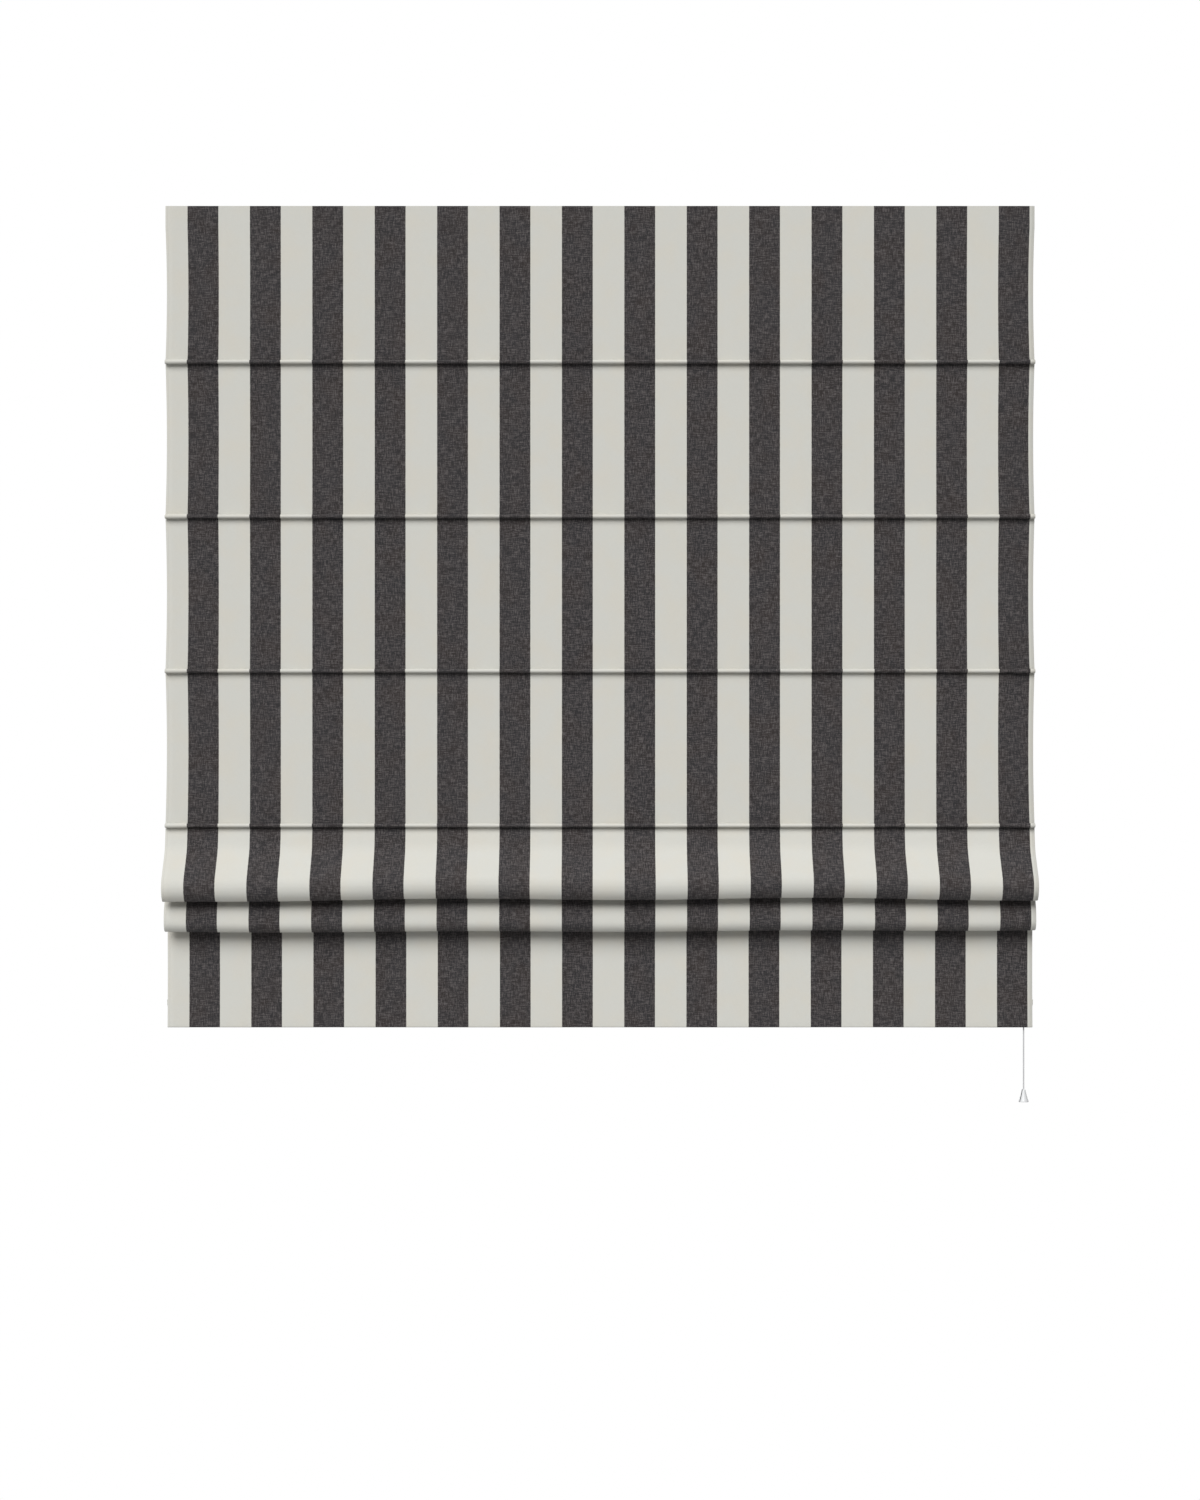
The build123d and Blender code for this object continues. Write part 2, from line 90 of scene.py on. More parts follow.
# The slot in the bell's side that lets the cord in, as a turn in degrees and widths in millimetres.
SLOT_TURN = 212.0
SLOT_WIDTH = 0.7
# SLOT_SHADE is how far from the slot's middle the bell is painted dark, as painted shade in and beside the
# slot.
SLOT_SHADE = 0.85

# How the hem's step and the seam's push ease off in tight corners, in millimetres and as a share,
# and the power that shapes the waist of a panel.
PUSH_EASE = 3.0
TIGHT_RADIUS = 2.6
TIGHT_REACH = 1.2
TIGHT_LEAST = 0.15
WAIST_POWER = 0.8

# The shortest step in a section, in millimetres, and the smallest bend that counts, in radians.
LEAST_STEP = 0.01
LEAST_BEND = 0.01

# What the canvas tree reads from each point of a section, apart from the way that is backwards there.
READINGS = ("arc", "push", "room", "waist", "soft", "wave_a", "wave_b")

Point = tuple[float, float, float]
Colour = tuple[float, float, float, float]
Socket = bpy.types.NodeSocket
NodeTree = bpy.types.NodeTree
Material = bpy.types.Material
Mesh = bpy.types.Mesh
Object = bpy.types.Object


class Following(Enum):
    """How a piece of cloth or cord moves with the bodies of the blind."""

    RIDE = "stays with one body"
    SQUASH = "gathers towards its upper edge as the batten below it rises"
    BLEND = "runs from one body to the next"


class Weft(Enum):
    """The cloths, by the distance between their threads in metres."""

    CANVAS = 0.00095
    TAPE = 0.0016


# Node trees


class Tree:
    """A node tree that is built a line at a time, for Geometry Nodes and for shaders."""

    def __init__(self, group: NodeTree) -> None:
        """Takes a tree that exists, such as a material's."""
        self.group = group
        self.identifiers: dict[str, str] = {}

    @classmethod
    def fresh(cls, name: str, kind: str) -> "Tree":
        """Starts an empty tree with its two ends.

        Args:
            name: the tree's name.
            kind: GeometryNodeTree or ShaderNodeTree.

        Returns:
            The tree.
        """
        tree = cls(bpy.data.node_groups.new(name, kind))
        tree.add("NodeGroupInput", name="entry")
        tree.add("NodeGroupOutput", name="exit")
        return tree

    def input(self, name: str, kind: str, default: object = None) -> Socket:
        """Adds a named input to the tree.

        Args:
            name: the input's name.
            kind: its socket type, such as Float.
            default: its value where nothing is linked.

        Returns:
            The socket inside the tree.
        """
        made = self.group.interface.new_socket(name=name, in_out="INPUT", socket_type="NodeSocket" + kind)
        if default is not None:
            made.default_value = default
        self.identifiers[name] = made.identifier
        return self.group.nodes["entry"].outputs[name]

    def output(self, name: str, kind: str, source: Socket) -> None:
        """Adds a named output and links it to a socket inside the tree."""
        self.group.interface.new_socket(name=name, in_out="OUTPUT", socket_type="NodeSocket" + kind)
        self.feed(self.group.nodes["exit"].inputs[name], source)

    def add(self, kind: str, inputs: dict | None = None, **settings: object) -> bpy.types.Node:
        """Adds a node.

        Args:
            kind: the node's type.
            inputs: sockets or plain values for its inputs, by name or number.
            settings: the node's own properties.

        Returns:
            The node.
        """
        node = self.group.nodes.new(kind)
        for key, value in settings.items():
            setattr(node, key, value)
        for key, value in (inputs or {}).items():
            self.feed(node.inputs[key], value)
        return node

    def feed(self, socket: Socket, value: object) -> None:
        """Links a socket to an input, or sets the input to a plain value.

        Args:
            socket: the input.
            value: the socket or the value that it gets.
        """
        if isinstance(value, bpy.types.NodeSocket):
            self.group.links.new(value, socket)
        else:
            socket.default_value = value

    def math(self, operation: str, *values: object, clamp: bool = False) -> Socket:
        """The answer of a Math node for one, two or three sockets or numbers."""
        node = self.add("ShaderNodeMath", dict(enumerate(values)), operation=operation, use_clamp=clamp)
        return node.outputs[0]

    def plus(self, *values: object) -> Socket:
        """The sum of sockets and numbers."""
        return reduce(lambda a, b: self.math("ADD", a, b), values)

    def minus(self, value: object, taken: object) -> Socket:
        """A socket or number less another."""
        return self.math("SUBTRACT", value, taken)

    def times(self, *values: object) -> Socket:
        """The product of sockets and numbers."""
        return reduce(lambda a, b: self.math("MULTIPLY", a, b), values)

    def vector(self, operation: str, *values: object) -> Socket:
        """The answer of a Vector Math node for sockets or triples, and a number where it scales."""
        keys = (0, 3) if operation == "SCALE" else (0, 1, 2)
        return self.add("ShaderNodeVectorMath", dict(zip(keys, values)), operation=operation).outputs[0]

    def combine(self, x: object, y: object, z: object) -> Socket:
        """A vector from three sockets or numbers."""
        return self.add("ShaderNodeCombineXYZ", {0: x, 1: y, 2: z}).outputs[0]

    def parts(self, vector: Socket) -> tuple[Socket, Socket, Socket]:
        """The X, Y and Z of a vector socket."""
        node = self.add("ShaderNodeSeparateXYZ", {0: vector})
        return node.outputs[0], node.outputs[1], node.outputs[2]

    def ramp(self, value: Socket, low: object, high: object, out: tuple = (0.0, 1.0)) -> Socket:
        """A smooth step from out's first value to its second, as a value goes from low to high."""
        inputs = {"Value": value, "From Min": low, "From Max": high, "To Min": out[0], "To Max": out[1]}
        return self.add("ShaderNodeMapRange", inputs, interpolation_type="SMOOTHSTEP").outputs["Result"]

    def noise(self, place: Socket, scale: float = 1.0, detail: float = 2.0, roughness: float = 0.5) -> Socket:
        """A cloudy value from 0 to 1, with clouds per metre, finer layers and their strength."""
        inputs = {"Vector": place, "Scale": scale, "Detail": detail, "Roughness": roughness}
        return self.add("ShaderNodeTexNoise", inputs).outputs[0]

    def ending(self, geometry: Socket, material: Socket) -> None:
        """Ends a Geometry Nodes tree with a smooth, real mesh in its material.

        Args:
            geometry: what the tree has made.
            material: its material input.
        """
        smooth = self.add("GeometryNodeSetShadeSmooth", {"Geometry": geometry})
        real = self.add("GeometryNodeRealizeInstances", {"Geometry": smooth.outputs[0]})
        dressed = self.add("GeometryNodeSetMaterial", {"Geometry": real.outputs[0], "Material": material})
        self.output("Geometry", "Geometry", dressed.outputs[0])


def named(tree: Tree, name: str, kind: str = "FLOAT") -> Socket:
    """The socket of a named attribute in a Geometry Nodes tree."""
    node = tree.add("GeometryNodeInputNamedAttribute", {"Name": name}, data_type=kind)
    return node.outputs["Attribute"]


def sample(tree: Tree, mesh: Socket, value: Socket, index: Socket, kind: str) -> Socket:
    """A value, FLOAT or FLOAT_VECTOR in kind, read from the point of another mesh that has an index."""
    inputs = {"Geometry": mesh, "Value": value, "Index": index}
    return tree.add("GeometryNodeSampleIndex", inputs, data_type=kind, domain="POINT").outputs["Value"]


# Meshes and objects


def shown(data: bpy.types.ID, name: str) -> Object:
    """Puts a mesh, curve, lamp or camera in the scene as an object of its own, at the origin.

    Args:
        data: what the object holds.
        name: the object's name.

    Returns:
        The object.
    """
    made = bpy.data.objects.new(name, data)
    bpy.context.scene.collection.objects.link(made)
    return made


def meshed(name: str, spots: Sequence[Point], edges: Sequence = (), faces: Sequence = ()) -> Mesh:
    """A mesh from its points in metres, its edges and its faces.

    Args:
        name: the mesh's name.
        spots: the points.
        edges: pairs of their numbers.
        faces: rings of their numbers.

    Returns:
        The mesh.
    """
    mesh = bpy.data.meshes.new(name)
    mesh.from_pydata(spots, edges, faces)
    return mesh


def smoothed(name: str, spots: Sequence[Point], faces: Sequence, material: Material, sharp: float) -> Object:
    """A piece with a smooth surface, in its finish.

    Args:
        name: the piece's name.
        spots: its points, in metres.
        faces: rings of their numbers.
        material: the finish.
        sharp: the angle between faces, in degrees, from which an edge stays sharp.

    Returns:
        The piece.
    """
    mesh = meshed(name, spots, (), faces)
    mesh.materials.append(material)
    mesh.shade_smooth()
    mesh.set_sharp_from_angle(angle=math.radians(sharp))
    return shown(mesh, name)


def evaluated(source: Object) -> Mesh:
    """The plain mesh that an object's modifiers or its bevel make of it.

    Args:
        source: the object.

    Returns:
        A new mesh.
    """
    bpy.context.view_layer.update()
    depsgraph = bpy.context.evaluated_depsgraph_get()
    return bpy.data.meshes.new_from_object(source.evaluated_get(depsgraph), depsgraph=depsgraph)


def grown(source: Mesh, name: str, tree: Tree, values: dict[str, object], wall: float = 0.0) -> Object:
    """Runs a Geometry Nodes tree on a mesh and keeps the result as a plain mesh.

    Args:
        source: the mesh that the tree reads.
        name: the name of the piece that is made.
        tree: the tree.
        values: its inputs, by name.
        wall: the thickness that the result gets, or 0 for none.

    Returns:
        The new piece, at the origin and with no modifier.
    """
    carrier = shown(source, name + "_carrier")
    modifier = carrier.modifiers.new("shape", "NODES")
    modifier.node_group = tree.group
    for key, value in values.items():
        modifier[tree.identifiers[key]] = value
    if wall:
        solid = carrier.modifiers.new("wall", "SOLIDIFY")
        solid.thickness = wall
        solid.offset = 0
        solid.use_even_offset = False
    mesh = evaluated(carrier)
    mesh.name = name
    carrier.modifiers.clear()
    bpy.data.objects.remove(carrier)
    return shown(mesh, name)


def heading(spots: Sequence[Vector], i: int) -> Vector:
    """The way that a line of points runs at the point of number i."""
    return (spots[min(i + 1, len(spots) - 1)] - spots[max(i - 1, 0)]).normalized()


# The canvas


@dataclass(frozen=True)
class Corner:
    """A corner of the cloth's section, in millimetres forward and down, with its radius."""

    forward: float
    down: float
    radius: float = 0.0


@dataclass(frozen=True)
class FoldWave:
    """How far the lower edge of a fold hangs below or above its mean, along the blind, in mm."""

    level: float
    tilt: float
    crown: float
    slow: float
    quick: float
    lean: float

    def build(self, tree: Tree, x: Socket) -> Socket:
        """Adds the wave to a tree.

        Args:
            tree: the tree that gets the nodes.
            x: the place along the blind, in metres.

        Returns:
            The socket with the height in metres.
        """
        square = tree.times(x, x, self.crown)
        total = tree.plus(tree.math("MULTIPLY_ADD", x, self.tilt, self.level), square)
        for amount, operation, rate in (
            (self.slow, "COSINE", 6.0),
            (self.quick, "COSINE", 12.0),
            (self.lean, "SINE", 12.0),
        ):
            wave = tree.math(operation, tree.times(x, rate))
            total = tree.math("MULTIPLY_ADD", wave, amount, total)
        return tree.times(total, MM)


@dataclass
class Strip:
    """A strip of the canvas between two lines where the way that it moves changes."""

    name: str
    body: str
    top: float
    corners: tuple[Corner, ...]
    following: Following = Following.RIDE
    joint: str = ""
    keep: float = 1.0
    partner: str = ""
    waist: float = 0.0
    soft: tuple[float, float, float] = (0.0, 0.0, 0.0)
    push: float = 0.0
    wave_a: tuple[float, float] = (0.0, 0.0)
    wave_b: tuple[float, float] = (0.0, 0.0)
    arc: float = 0.0
    points: list[tuple[float, float]] = field(default_factory=list)

    def line(self, straight: float = 9.0, turn: float = 10.0) -> list[tuple[float, float]]:
        """The strip's section with its corners rounded.

        Args:
            straight: the longest step on a straight run, in mm.
            turn: the largest step round a corner, in degrees.

        Returns:
            Points as Y and Z in metres, from the upper end to the lower one.
        """
        spots = [Vector((corner.forward, corner.down)) for corner in self.corners]
        path = [spots[0]]
        for before, spot, after, corner in zip(spots, spots[1:], spots[2:], self.corners[1:]):
            into, out = (spot - before).normalized(), (after - spot).normalized()
            angle = into.angle(out)
            reach = corner.radius * math.tan(angle / 2)
            start, end = spot - into * reach, spot + out * reach
            side = Vector((-into.y, into.x))
            side = side if side.dot(out) > 0 else -side
            centre = start + side * corner.radius
            steps = max(1, math.ceil(math.degrees(angle) / turn))
            for i in range(steps + 1):
                share = angle * i / steps
                arm = -side * math.cos(share) + into * math.sin(share)
                path.append(centre + arm * corner.radius)
            path[-1] = end
        path.append(spots[-1])
        even = [path[0]]
        for a, b in zip(path, path[1:]):
            if (b - a).length < LEAST_STEP:
                continue
            count = max(1, math.ceil((b - a).length / straight))
            even += [a.lerp(b, i / count) for i in range(1, count + 1)]
        return [((FLAT_Y - p.x) * MM, (self.top - p.y) * MM) for p in even]

    def section(self) -> Mesh:
        """The section as a mesh of points, with what the canvas tree reads from each.

        Returns:
            A mesh of one line, whose points carry arc, back, push, room, waist, soft and the waves.
        """
        self.points = self.line()
        edges = [(i, i + 1) for i in range(len(self.points) - 1)]
        mesh = meshed(self.name + "_section", [(0.0, y, z) for y, z in self.points], edges)
        spots = [Vector(p) for p in self.points]
        lengths = [0.0]
        for a, b in zip(spots, spots[1:]):
            lengths.append(lengths[-1] + (b - a).length)
        rows: dict[str, list[float]] = {name: [] for name in READINGS}
        backs: list[float] = []
        for i, (length, room) in enumerate(zip(lengths, self.room(spots, lengths))):
            way = heading(spots, i)
            backs += [0.0, -way.y, way.x]
            share = length / lengths[-1]
            smooth = share * share * (3 - 2 * share)
            hump = math.sin(math.pi * share)
            ease = min(1.0, min(length, lengths[-1] - length) / (PUSH_EASE * MM))
            for name, value in zip(READINGS, (
                self.arc + length,
                self.push * ease,
                room,
                self.waist * hump ** WAIST_POWER,
                self.soft[0] * (1 - share) + self.soft[2] * share + self.soft[1] * hump,
                self.wave_a[0] + (self.wave_a[1] - self.wave_a[0]) * smooth,
                self.wave_b[0] + (self.wave_b[1] - self.wave_b[0]) * smooth,
            )):
                rows[name].append(value)
        for name, values in rows.items():
            mesh.attributes.new(name, "FLOAT", "POINT").data.foreach_set("value", values)
        mesh.attributes.new("back", "FLOAT_VECTOR", "POINT").data.foreach_set("vector", backs)
        return mesh

    def room(self, spots: list[Vector], lengths: list[float]) -> list[float]:
        """How much of the hem's step each point has room for, which is less in tight corners.

        Args:
            spots: the section's points.
            lengths: the length of cloth above each.

        Returns:
            A share from TIGHT_LEAST to 1 for each point.
        """
        tight = [1.0] * len(spots)
        for i in range(1, len(spots) - 1):
            a, b = spots[i] - spots[i - 1], spots[i + 1] - spots[i]
            bend = a.angle(b)
            if bend > LEAST_BEND:
                radius = (a.length + b.length) / 2 / bend
                tight[i] = min(1.0, max(TIGHT_LEAST, radius / (TIGHT_RADIUS * MM)))
        near = TIGHT_REACH * MM
        return [min(t for t, at in zip(tight, lengths) if abs(at - here) <= near) for here in lengths]

    def length(self) -> float:
        """The strip's length along the cloth, in metres."""
        spots = [Vector(p) for p in self.points]
        return sum((b - a).length for a, b in zip(spots, spots[1:]))

    def move(self, piece: Object) -> None:
        """Gives a piece of this strip the way that the strip moves.

        Args:
            piece: the strip itself or stitches on it.
        """
        if self.following is Following.BLEND:
            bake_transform(piece)
            return
        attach(piece, self.body)
        if self.following is Following.SQUASH:
            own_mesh(piece)


@dataclass
class Canvas:
    """The striped canvas: one cloth that is made in strips, because its parts move apart."""

    side_hem: float = 0.025
    hem_step: float = 0.0008
    turn: float = 0.0005
    columns: int = 150
    waist_depth: float = 0.0021
    softness: float = 0.0005
    tuck_end: float = 3.5
    standing_reach: float = 5.5
    hanging_reach: float = 4.5
    neck_half: float = 0.42
    pocket_half: float = 2.45
    fold_column: float = 4.0
    edge_power: float = 9.0
    hem_ease: float = 0.01
    clouds: tuple[float, float, float] = (5.5, 2.0, 0.45)
    sharp: float = 52.0
    seed: float = 3.0
    wave_a: FoldWave = FoldWave(1.57, 2.51, -10.72, -0.85, -1.14, -0.7)
    wave_b: FoldWave = FoldWave(-0.09, 2.38, 1.81, 0.14, -0.69, -0.4)

    def tuck(self, forward: float, down: float, hangs: bool) -> tuple[Corner, ...]:
        """The corners of the pocket round a batten, with its stitched neck.

        Args:
            forward: where the neck's middle leaves the cloth.
            down: how far down that is.
            hangs: whether the pocket hangs under the neck or stands forward of it.

        Returns:
            The corners from the cloth, round the batten and back to the cloth.
        """
        reach = self.hanging_reach if hangs else self.standing_reach
        neck, half = self.neck_half, self.pocket_half
        lower = (
            (0, neck, 0.35), (reach - half, neck, 0.4), (reach - half, half, 1.55), (reach + half, half, 2.4),
        )
        around = (*((out, -across, radius) for out, across, radius in lower), *reversed(lower))
        if hangs:
            return tuple(Corner(forward - across, down + out, radius) for out, across, radius in around)
        return tuple(Corner(forward + out, down + across, radius) for out, across, radius in around)

    def strips(self) -> list[Strip]:
        """The strips from the top edge to the bottom hem.

        Returns:
            The strips in their order down the cloth.
        """
        end = self.tuck_end
        made = [Strip("canvas_head", "root", TOP_Z, (Corner(0, 0), Corner(0, TOP_Z - HEAD_END)))]
        upper, above = HEAD_END, "root"
        for i, (seam, travel) in enumerate(zip(SEAMS, RISES), 1):
            start = upper if i == 1 else upper - end
            high = start - seam - end
            made.append(Strip(
                f"canvas_panel_{i}", above, start, (Corner(0, 0), Corner(0, high)), Following.SQUASH,
                f"batten_{i}_rise", 1 - travel / high, waist=1.0, soft=(0.0, 1.0, 0.0),
            ))
            flat = (Corner(0, -end), *self.tuck(0, 0, False), Corner(0, end))
            made.append(Strip(f"canvas_tuck_{i}", f"batten_{i}", seam, flat, push=1.0))
            upper, above = seam, f"batten_{i}"
        low = SEAMS[3]
        made.append(Strip("canvas_fold_a_front", "batten_4", low, (
            Corner(0, end), Corner(0.5, 8, 16), Corner(6, 36.6, 40), Corner(41.6, 80, 23),
            Corner(41.6, 99.9, 24), Corner(32.4, 107.6),
        ), wave_a=(0, 1), soft=(0.0, 1.2, 0.4)))
        made.append(Strip("canvas_fold_a_back", "batten_4", low, (
            Corner(32.4, 107.6), Corner(26.0, 113.0, 5), Corner(1.88, 30),
        ), Following.BLEND, partner="batten_5", wave_a=(1, 0), soft=(0.4, 0.0, 0.0)))
        made.append(Strip("canvas_loop_5", "batten_5", low, (
            Corner(1.88, 30), Corner(-0.5, 21, 3.4), *self.tuck(-5, 21, True), Corner(-9.5, 21, 3.0),
            Corner(-7.75, 30),
        )))
        made.append(Strip("canvas_fold_b_front", "batten_5", low, (
            Corner(-7.75, 30), Corner(8.4, 113, 30), Corner(14.5, 124, 30), Corner(16.6, 137, 30),
            Corner(16.6, 151, 16), Corner(10.3, 156.3),
        ), wave_b=(0, 1), soft=(0.0, 0.2, 0.2)))
        made.append(Strip("canvas_fold_b_back", "batten_5", low, (
            Corner(10.3, 156.3), Corner(2.85, 162.6, 5), Corner(-5.42, 98.3),
        ), Following.BLEND, partner="batten_6", wave_b=(1, 0), soft=(0.2, 0.0, 0.0)))
        made.append(Strip("canvas_loop_6", "batten_6", low, (
            Corner(-5.42, 98.3), Corner(-6, 89.3, 3.4), *self.tuck(-10.5, 89.3, True), Corner(-15, 89.3, 3.4),
            Corner(-15, 98.3),
        )))
        made.append(Strip("canvas_bottom", "batten_6", low, (
            Corner(-15, 98.3), Corner(-15, 303.6, 1.3), Corner(-19.6, 303.6, 1.3), Corner(-19.6, 273, 2),
            Corner(-16.0, 268, 1.5), Corner(-15.85, HEM_STITCH),
        ), waist=0.5, soft=(0.0, 0.8, 0.2)))
        return made

    def tree(self) -> Tree:
        """The tree that weaves a strip: a grid laid along the section, its sides turned over behind.

        Returns:
            The tree, which reads the section's mesh and puts out the cloth's middle surface.
        """
        t = Tree.fresh("canvas_strip", "GeometryNodeTree")
        line = t.input("Section", "Geometry")
        half = t.input("Half Width", "Float", 0.65)
        hem = t.input("Side Hem", "Float", 0.025)
        turn = t.input("Turn", "Float", 0.0005)
        step = t.input("Hem Step", "Float", 0.0008)
        columns = t.input("Columns", "Int", 150)
        waist = t.input("Waist Depth", "Float", 0.002)
        softness = t.input("Softness", "Float", 0.0005)
        seed = t.input("Seed", "Float", 3.0)
        material = t.input("Material", "Material")

        rows = t.add("GeometryNodeAttributeDomainSize", {"Geometry": line}).outputs["Point Count"]
        grid = t.add("GeometryNodeMeshGrid", {"Size X": 1.0, "Size Y": 1.0, "Vertices X": columns,
                                              "Vertices Y": rows}).outputs["Mesh"]
        index = t.add("GeometryNodeInputIndex").outputs["Index"]
        column = t.math("FLOOR", t.math("DIVIDE", t.plus(index, 0.5), rows))
        row = t.math("ROUND", t.minus(index, t.times(column, rows)))
        last = t.minus(columns, 1.0)
        near = t.math("MINIMUM", column, t.minus(last, column))
        side = t.math("SIGN", t.minus(column, t.times(last, 0.5)))

        # The three outer columns on each side lie on the hem, and the one between them and the front
        # on the fold itself.
        fold = self.fold_column
        pace = t.math("DIVIDE", t.minus(half, turn), t.minus(t.times(last, 0.5), fold))
        front = t.math("MAXIMUM", t.math("MULTIPLY_ADD", t.minus(near, fold), pace, turn), 0.0)
        behind = t.minus(hem, t.times(near, t.minus(hem, turn), 0.5))
        on_hem = t.math("LESS_THAN", near, fold - 1.5)
        inward = t.plus(t.times(on_hem, behind), t.times(t.minus(1.0, on_hem), front))
        under = t.math("MULTIPLY", t.minus(fold, near), 0.5, clamp=True)
        across = t.times(side, t.minus(half, inward))
        sign = t.math("MULTIPLY_ADD", on_hem, 2.0, -1.0)
        cloth_x = t.times(side, t.math("MULTIPLY_ADD", inward, sign, half))

        place = sample(t, line, t.add("GeometryNodeInputPosition").outputs[0], row, "FLOAT_VECTOR")
        back = sample(t, line, named(t, "back", "FLOAT_VECTOR"), row, "FLOAT_VECTOR")
        arc, push, room, waisted, soft, wave_a, wave_b = (
            sample(t, line, named(t, name), row, "FLOAT") for name in READINGS
        )
        edge = t.math("POWER", t.math("DIVIDE", t.math("ABSOLUTE", across), half), self.edge_power)
        x = t.minus(across, t.times(edge, side, waisted, waist))
        reach = t.minus(half, hem)
        zone = t.ramp(t.math("ABSOLUTE", across), t.minus(reach, self.hem_ease), reach)
        stacked = t.minus(under, t.times(push, zone))
        cloud = t.noise(t.combine(cloth_x, arc, seed), *self.clouds)
        rise = t.times(t.minus(cloud, 0.5), 2.0)
        lift = t.math("MULTIPLY_ADD", rise, t.times(soft, softness), t.times(step, room, stacked))
        down = t.plus(t.times(wave_a, self.wave_a.build(t, across)),
                      t.times(wave_b, self.wave_b.build(t, across)))
        moved = t.vector("ADD", place, t.vector("SCALE", back, lift))
        moved = t.vector("ADD", moved, t.combine(x, 0.0, down))

        cut = {"Geometry": grid, "Name": "cut", "Value": t.combine(cloth_x, arc, 0.0)}
        cloth = t.add("GeometryNodeStoreNamedAttribute", cut, data_type="FLOAT_VECTOR", domain="POINT")
        cloth = t.add("GeometryNodeSetPosition", {"Geometry": cloth.outputs[0], "Position": moved})
        flat = {"Geometry": cloth.outputs[0], "Name": "UVMap", "Value": named(t, "cut", "FLOAT_VECTOR")}
        uv = t.add("GeometryNodeStoreNamedAttribute", flat, data_type="FLOAT2", domain="CORNER")
        t.ending(uv.outputs[0], material)
        return t

    def build(self, material: Material, stitch: "StitchRow") -> list[Object]:
        """Makes every strip and the stitches along its side hems.

        Args:
            material: the canvas.
            stitch: the maker of the stitch rows.

        Returns:
            The strips' pieces.
        """
        tree, made, arc = self.tree(), [], 0.0
        for strip in self.strips():
            strip.arc = arc
            piece = grown(strip.section(), strip.name, tree, {
                "Half Width": HALF_WIDTH * MM, "Side Hem": self.side_hem, "Turn": self.turn,
                "Hem Step": self.hem_step, "Columns": self.columns, "Waist Depth": self.waist_depth,
                "Softness": self.softness, "Seed": self.seed, "Material": material,
            }, CANVAS * MM)
            arc += strip.length()
            piece.data.set_sharp_from_angle(angle=math.radians(self.sharp))
            strip.move(piece)
            strip.length()
            made.append(piece)
            if strip.name.startswith(("canvas_panel", "canvas_fold", "canvas_bottom")):
                stitch.side_hems(strip, self.side_hem, self.hem_step)
            LOG.info("%s: %.0f mm of cloth", strip.name, strip.length() / MM)
        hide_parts("cloth")
        LOG.info("the canvas is %.0f mm long", arc / MM)
        return made


@dataclass
class StitchRow:
    """Rows of sewn stitches that follow a line on the cloth."""

    material: Material
    pitch: float = 0.0045
    long: float = 0.0030
    thick: float = 0.00045
    inset: float = 0.003
    sink: float = 0.1
    tree: Tree | None = None

    def grow(self) -> Tree:
        """The tree that sets a stitch at every pitch along a line of edges.

        Returns:
            The tree, which reads lines and puts out the stitches.
        """
        t = Tree.fresh("stitch_row", "GeometryNodeTree")
        line = t.input("Lines", "Geometry")
        pitch = t.input("Pitch", "Float", 0.0045)
        long = t.input("Length", "Float", 0.003)
        thick = t.input("Thickness", "Float", 0.0005)
        material = t.input("Material", "Material")
        curve = t.add("GeometryNodeMeshToCurve", {"Mesh": line}).outputs[0]
        even = t.add("GeometryNodeResampleCurve", {"Curve": curve, "Length": pitch}, mode="LENGTH")
        thread = t.add("GeometryNodeMeshUVSphere", {"Segments": 6, "Rings": 4, "Radius": 0.5}).outputs[0]
        tangent = t.add("GeometryNodeInputTangent").outputs[0]
        aim = t.add("FunctionNodeAlignRotationToVector", {"Vector": tangent}, axis="Z")
        size = t.combine(thick, thick, long)
        placed = t.add("GeometryNodeInstanceOnPoints", {
            "Points": even.outputs[0], "Instance": thread, "Rotation": aim.outputs[0], "Scale": size,
        })
        t.ending(placed.outputs[0], material)
        return t

    def sew(self, name: str, lines: Sequence[Sequence[Point]]) -> Object:
        """Sews along lines.

        Args:
            name: the name of the piece.
            lines: each line's points in metres.

        Returns:
            The stitches as one piece.
        """
        self.tree = self.tree or self.grow()
        spots, edges = [], []
        for line in lines:
            first = len(spots)
            spots += list(line)
            edges += [(i, i + 1) for i in range(first, len(spots) - 1)]
        piece = grown(meshed(name + "_lines", spots, edges), name, self.tree, {
            "Pitch": self.pitch, "Length": self.long, "Thickness": self.thick, "Material": self.material,
        })
        return piece

    def side_hems(self, strip: Strip, hem: float, step: float) -> None:
        """Sews both side hems of a strip, behind it.

        Args:
            strip: the strip, whose section has been made.
            hem: the hem's width.
            step: how far the hem lies behind the cloth.
        """
        inset = HALF_WIDTH * MM - hem + self.inset
        depth = step + 0.5 * CANVAS * MM + self.sink * self.thick
        spots = [Vector(p) for p in strip.points]
        last = len(spots) - 1
        if strip.name == "canvas_bottom":
            last = next(i for i, spot in enumerate(spots) if spot.y < (SEAMS[3] - HEM_STITCH) * MM)
        lines = []
        for side in (-1, 1):
            line = []
            for i in range(last + 1):
                way = heading(spots, i)
                y, z = spots[i].x - way.y * depth, spots[i].y + way.x * depth
                line.append((side * inset, y, z))
            lines.append(line)
        strip.move(self.sew(strip.name + "_stitches", lines))

    def straight(self, name: str, body: str, y: float, heights: Sequence[float], reach: float) -> None:
        """Sews straight rows at y and at some heights, as far as reach from the middle, in mm."""
        rows = [[(side * reach * MM, y * MM, z * MM) for side in (-1, 1)] for z in heights]
        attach(self.sew(name, rows), body)


# Cords


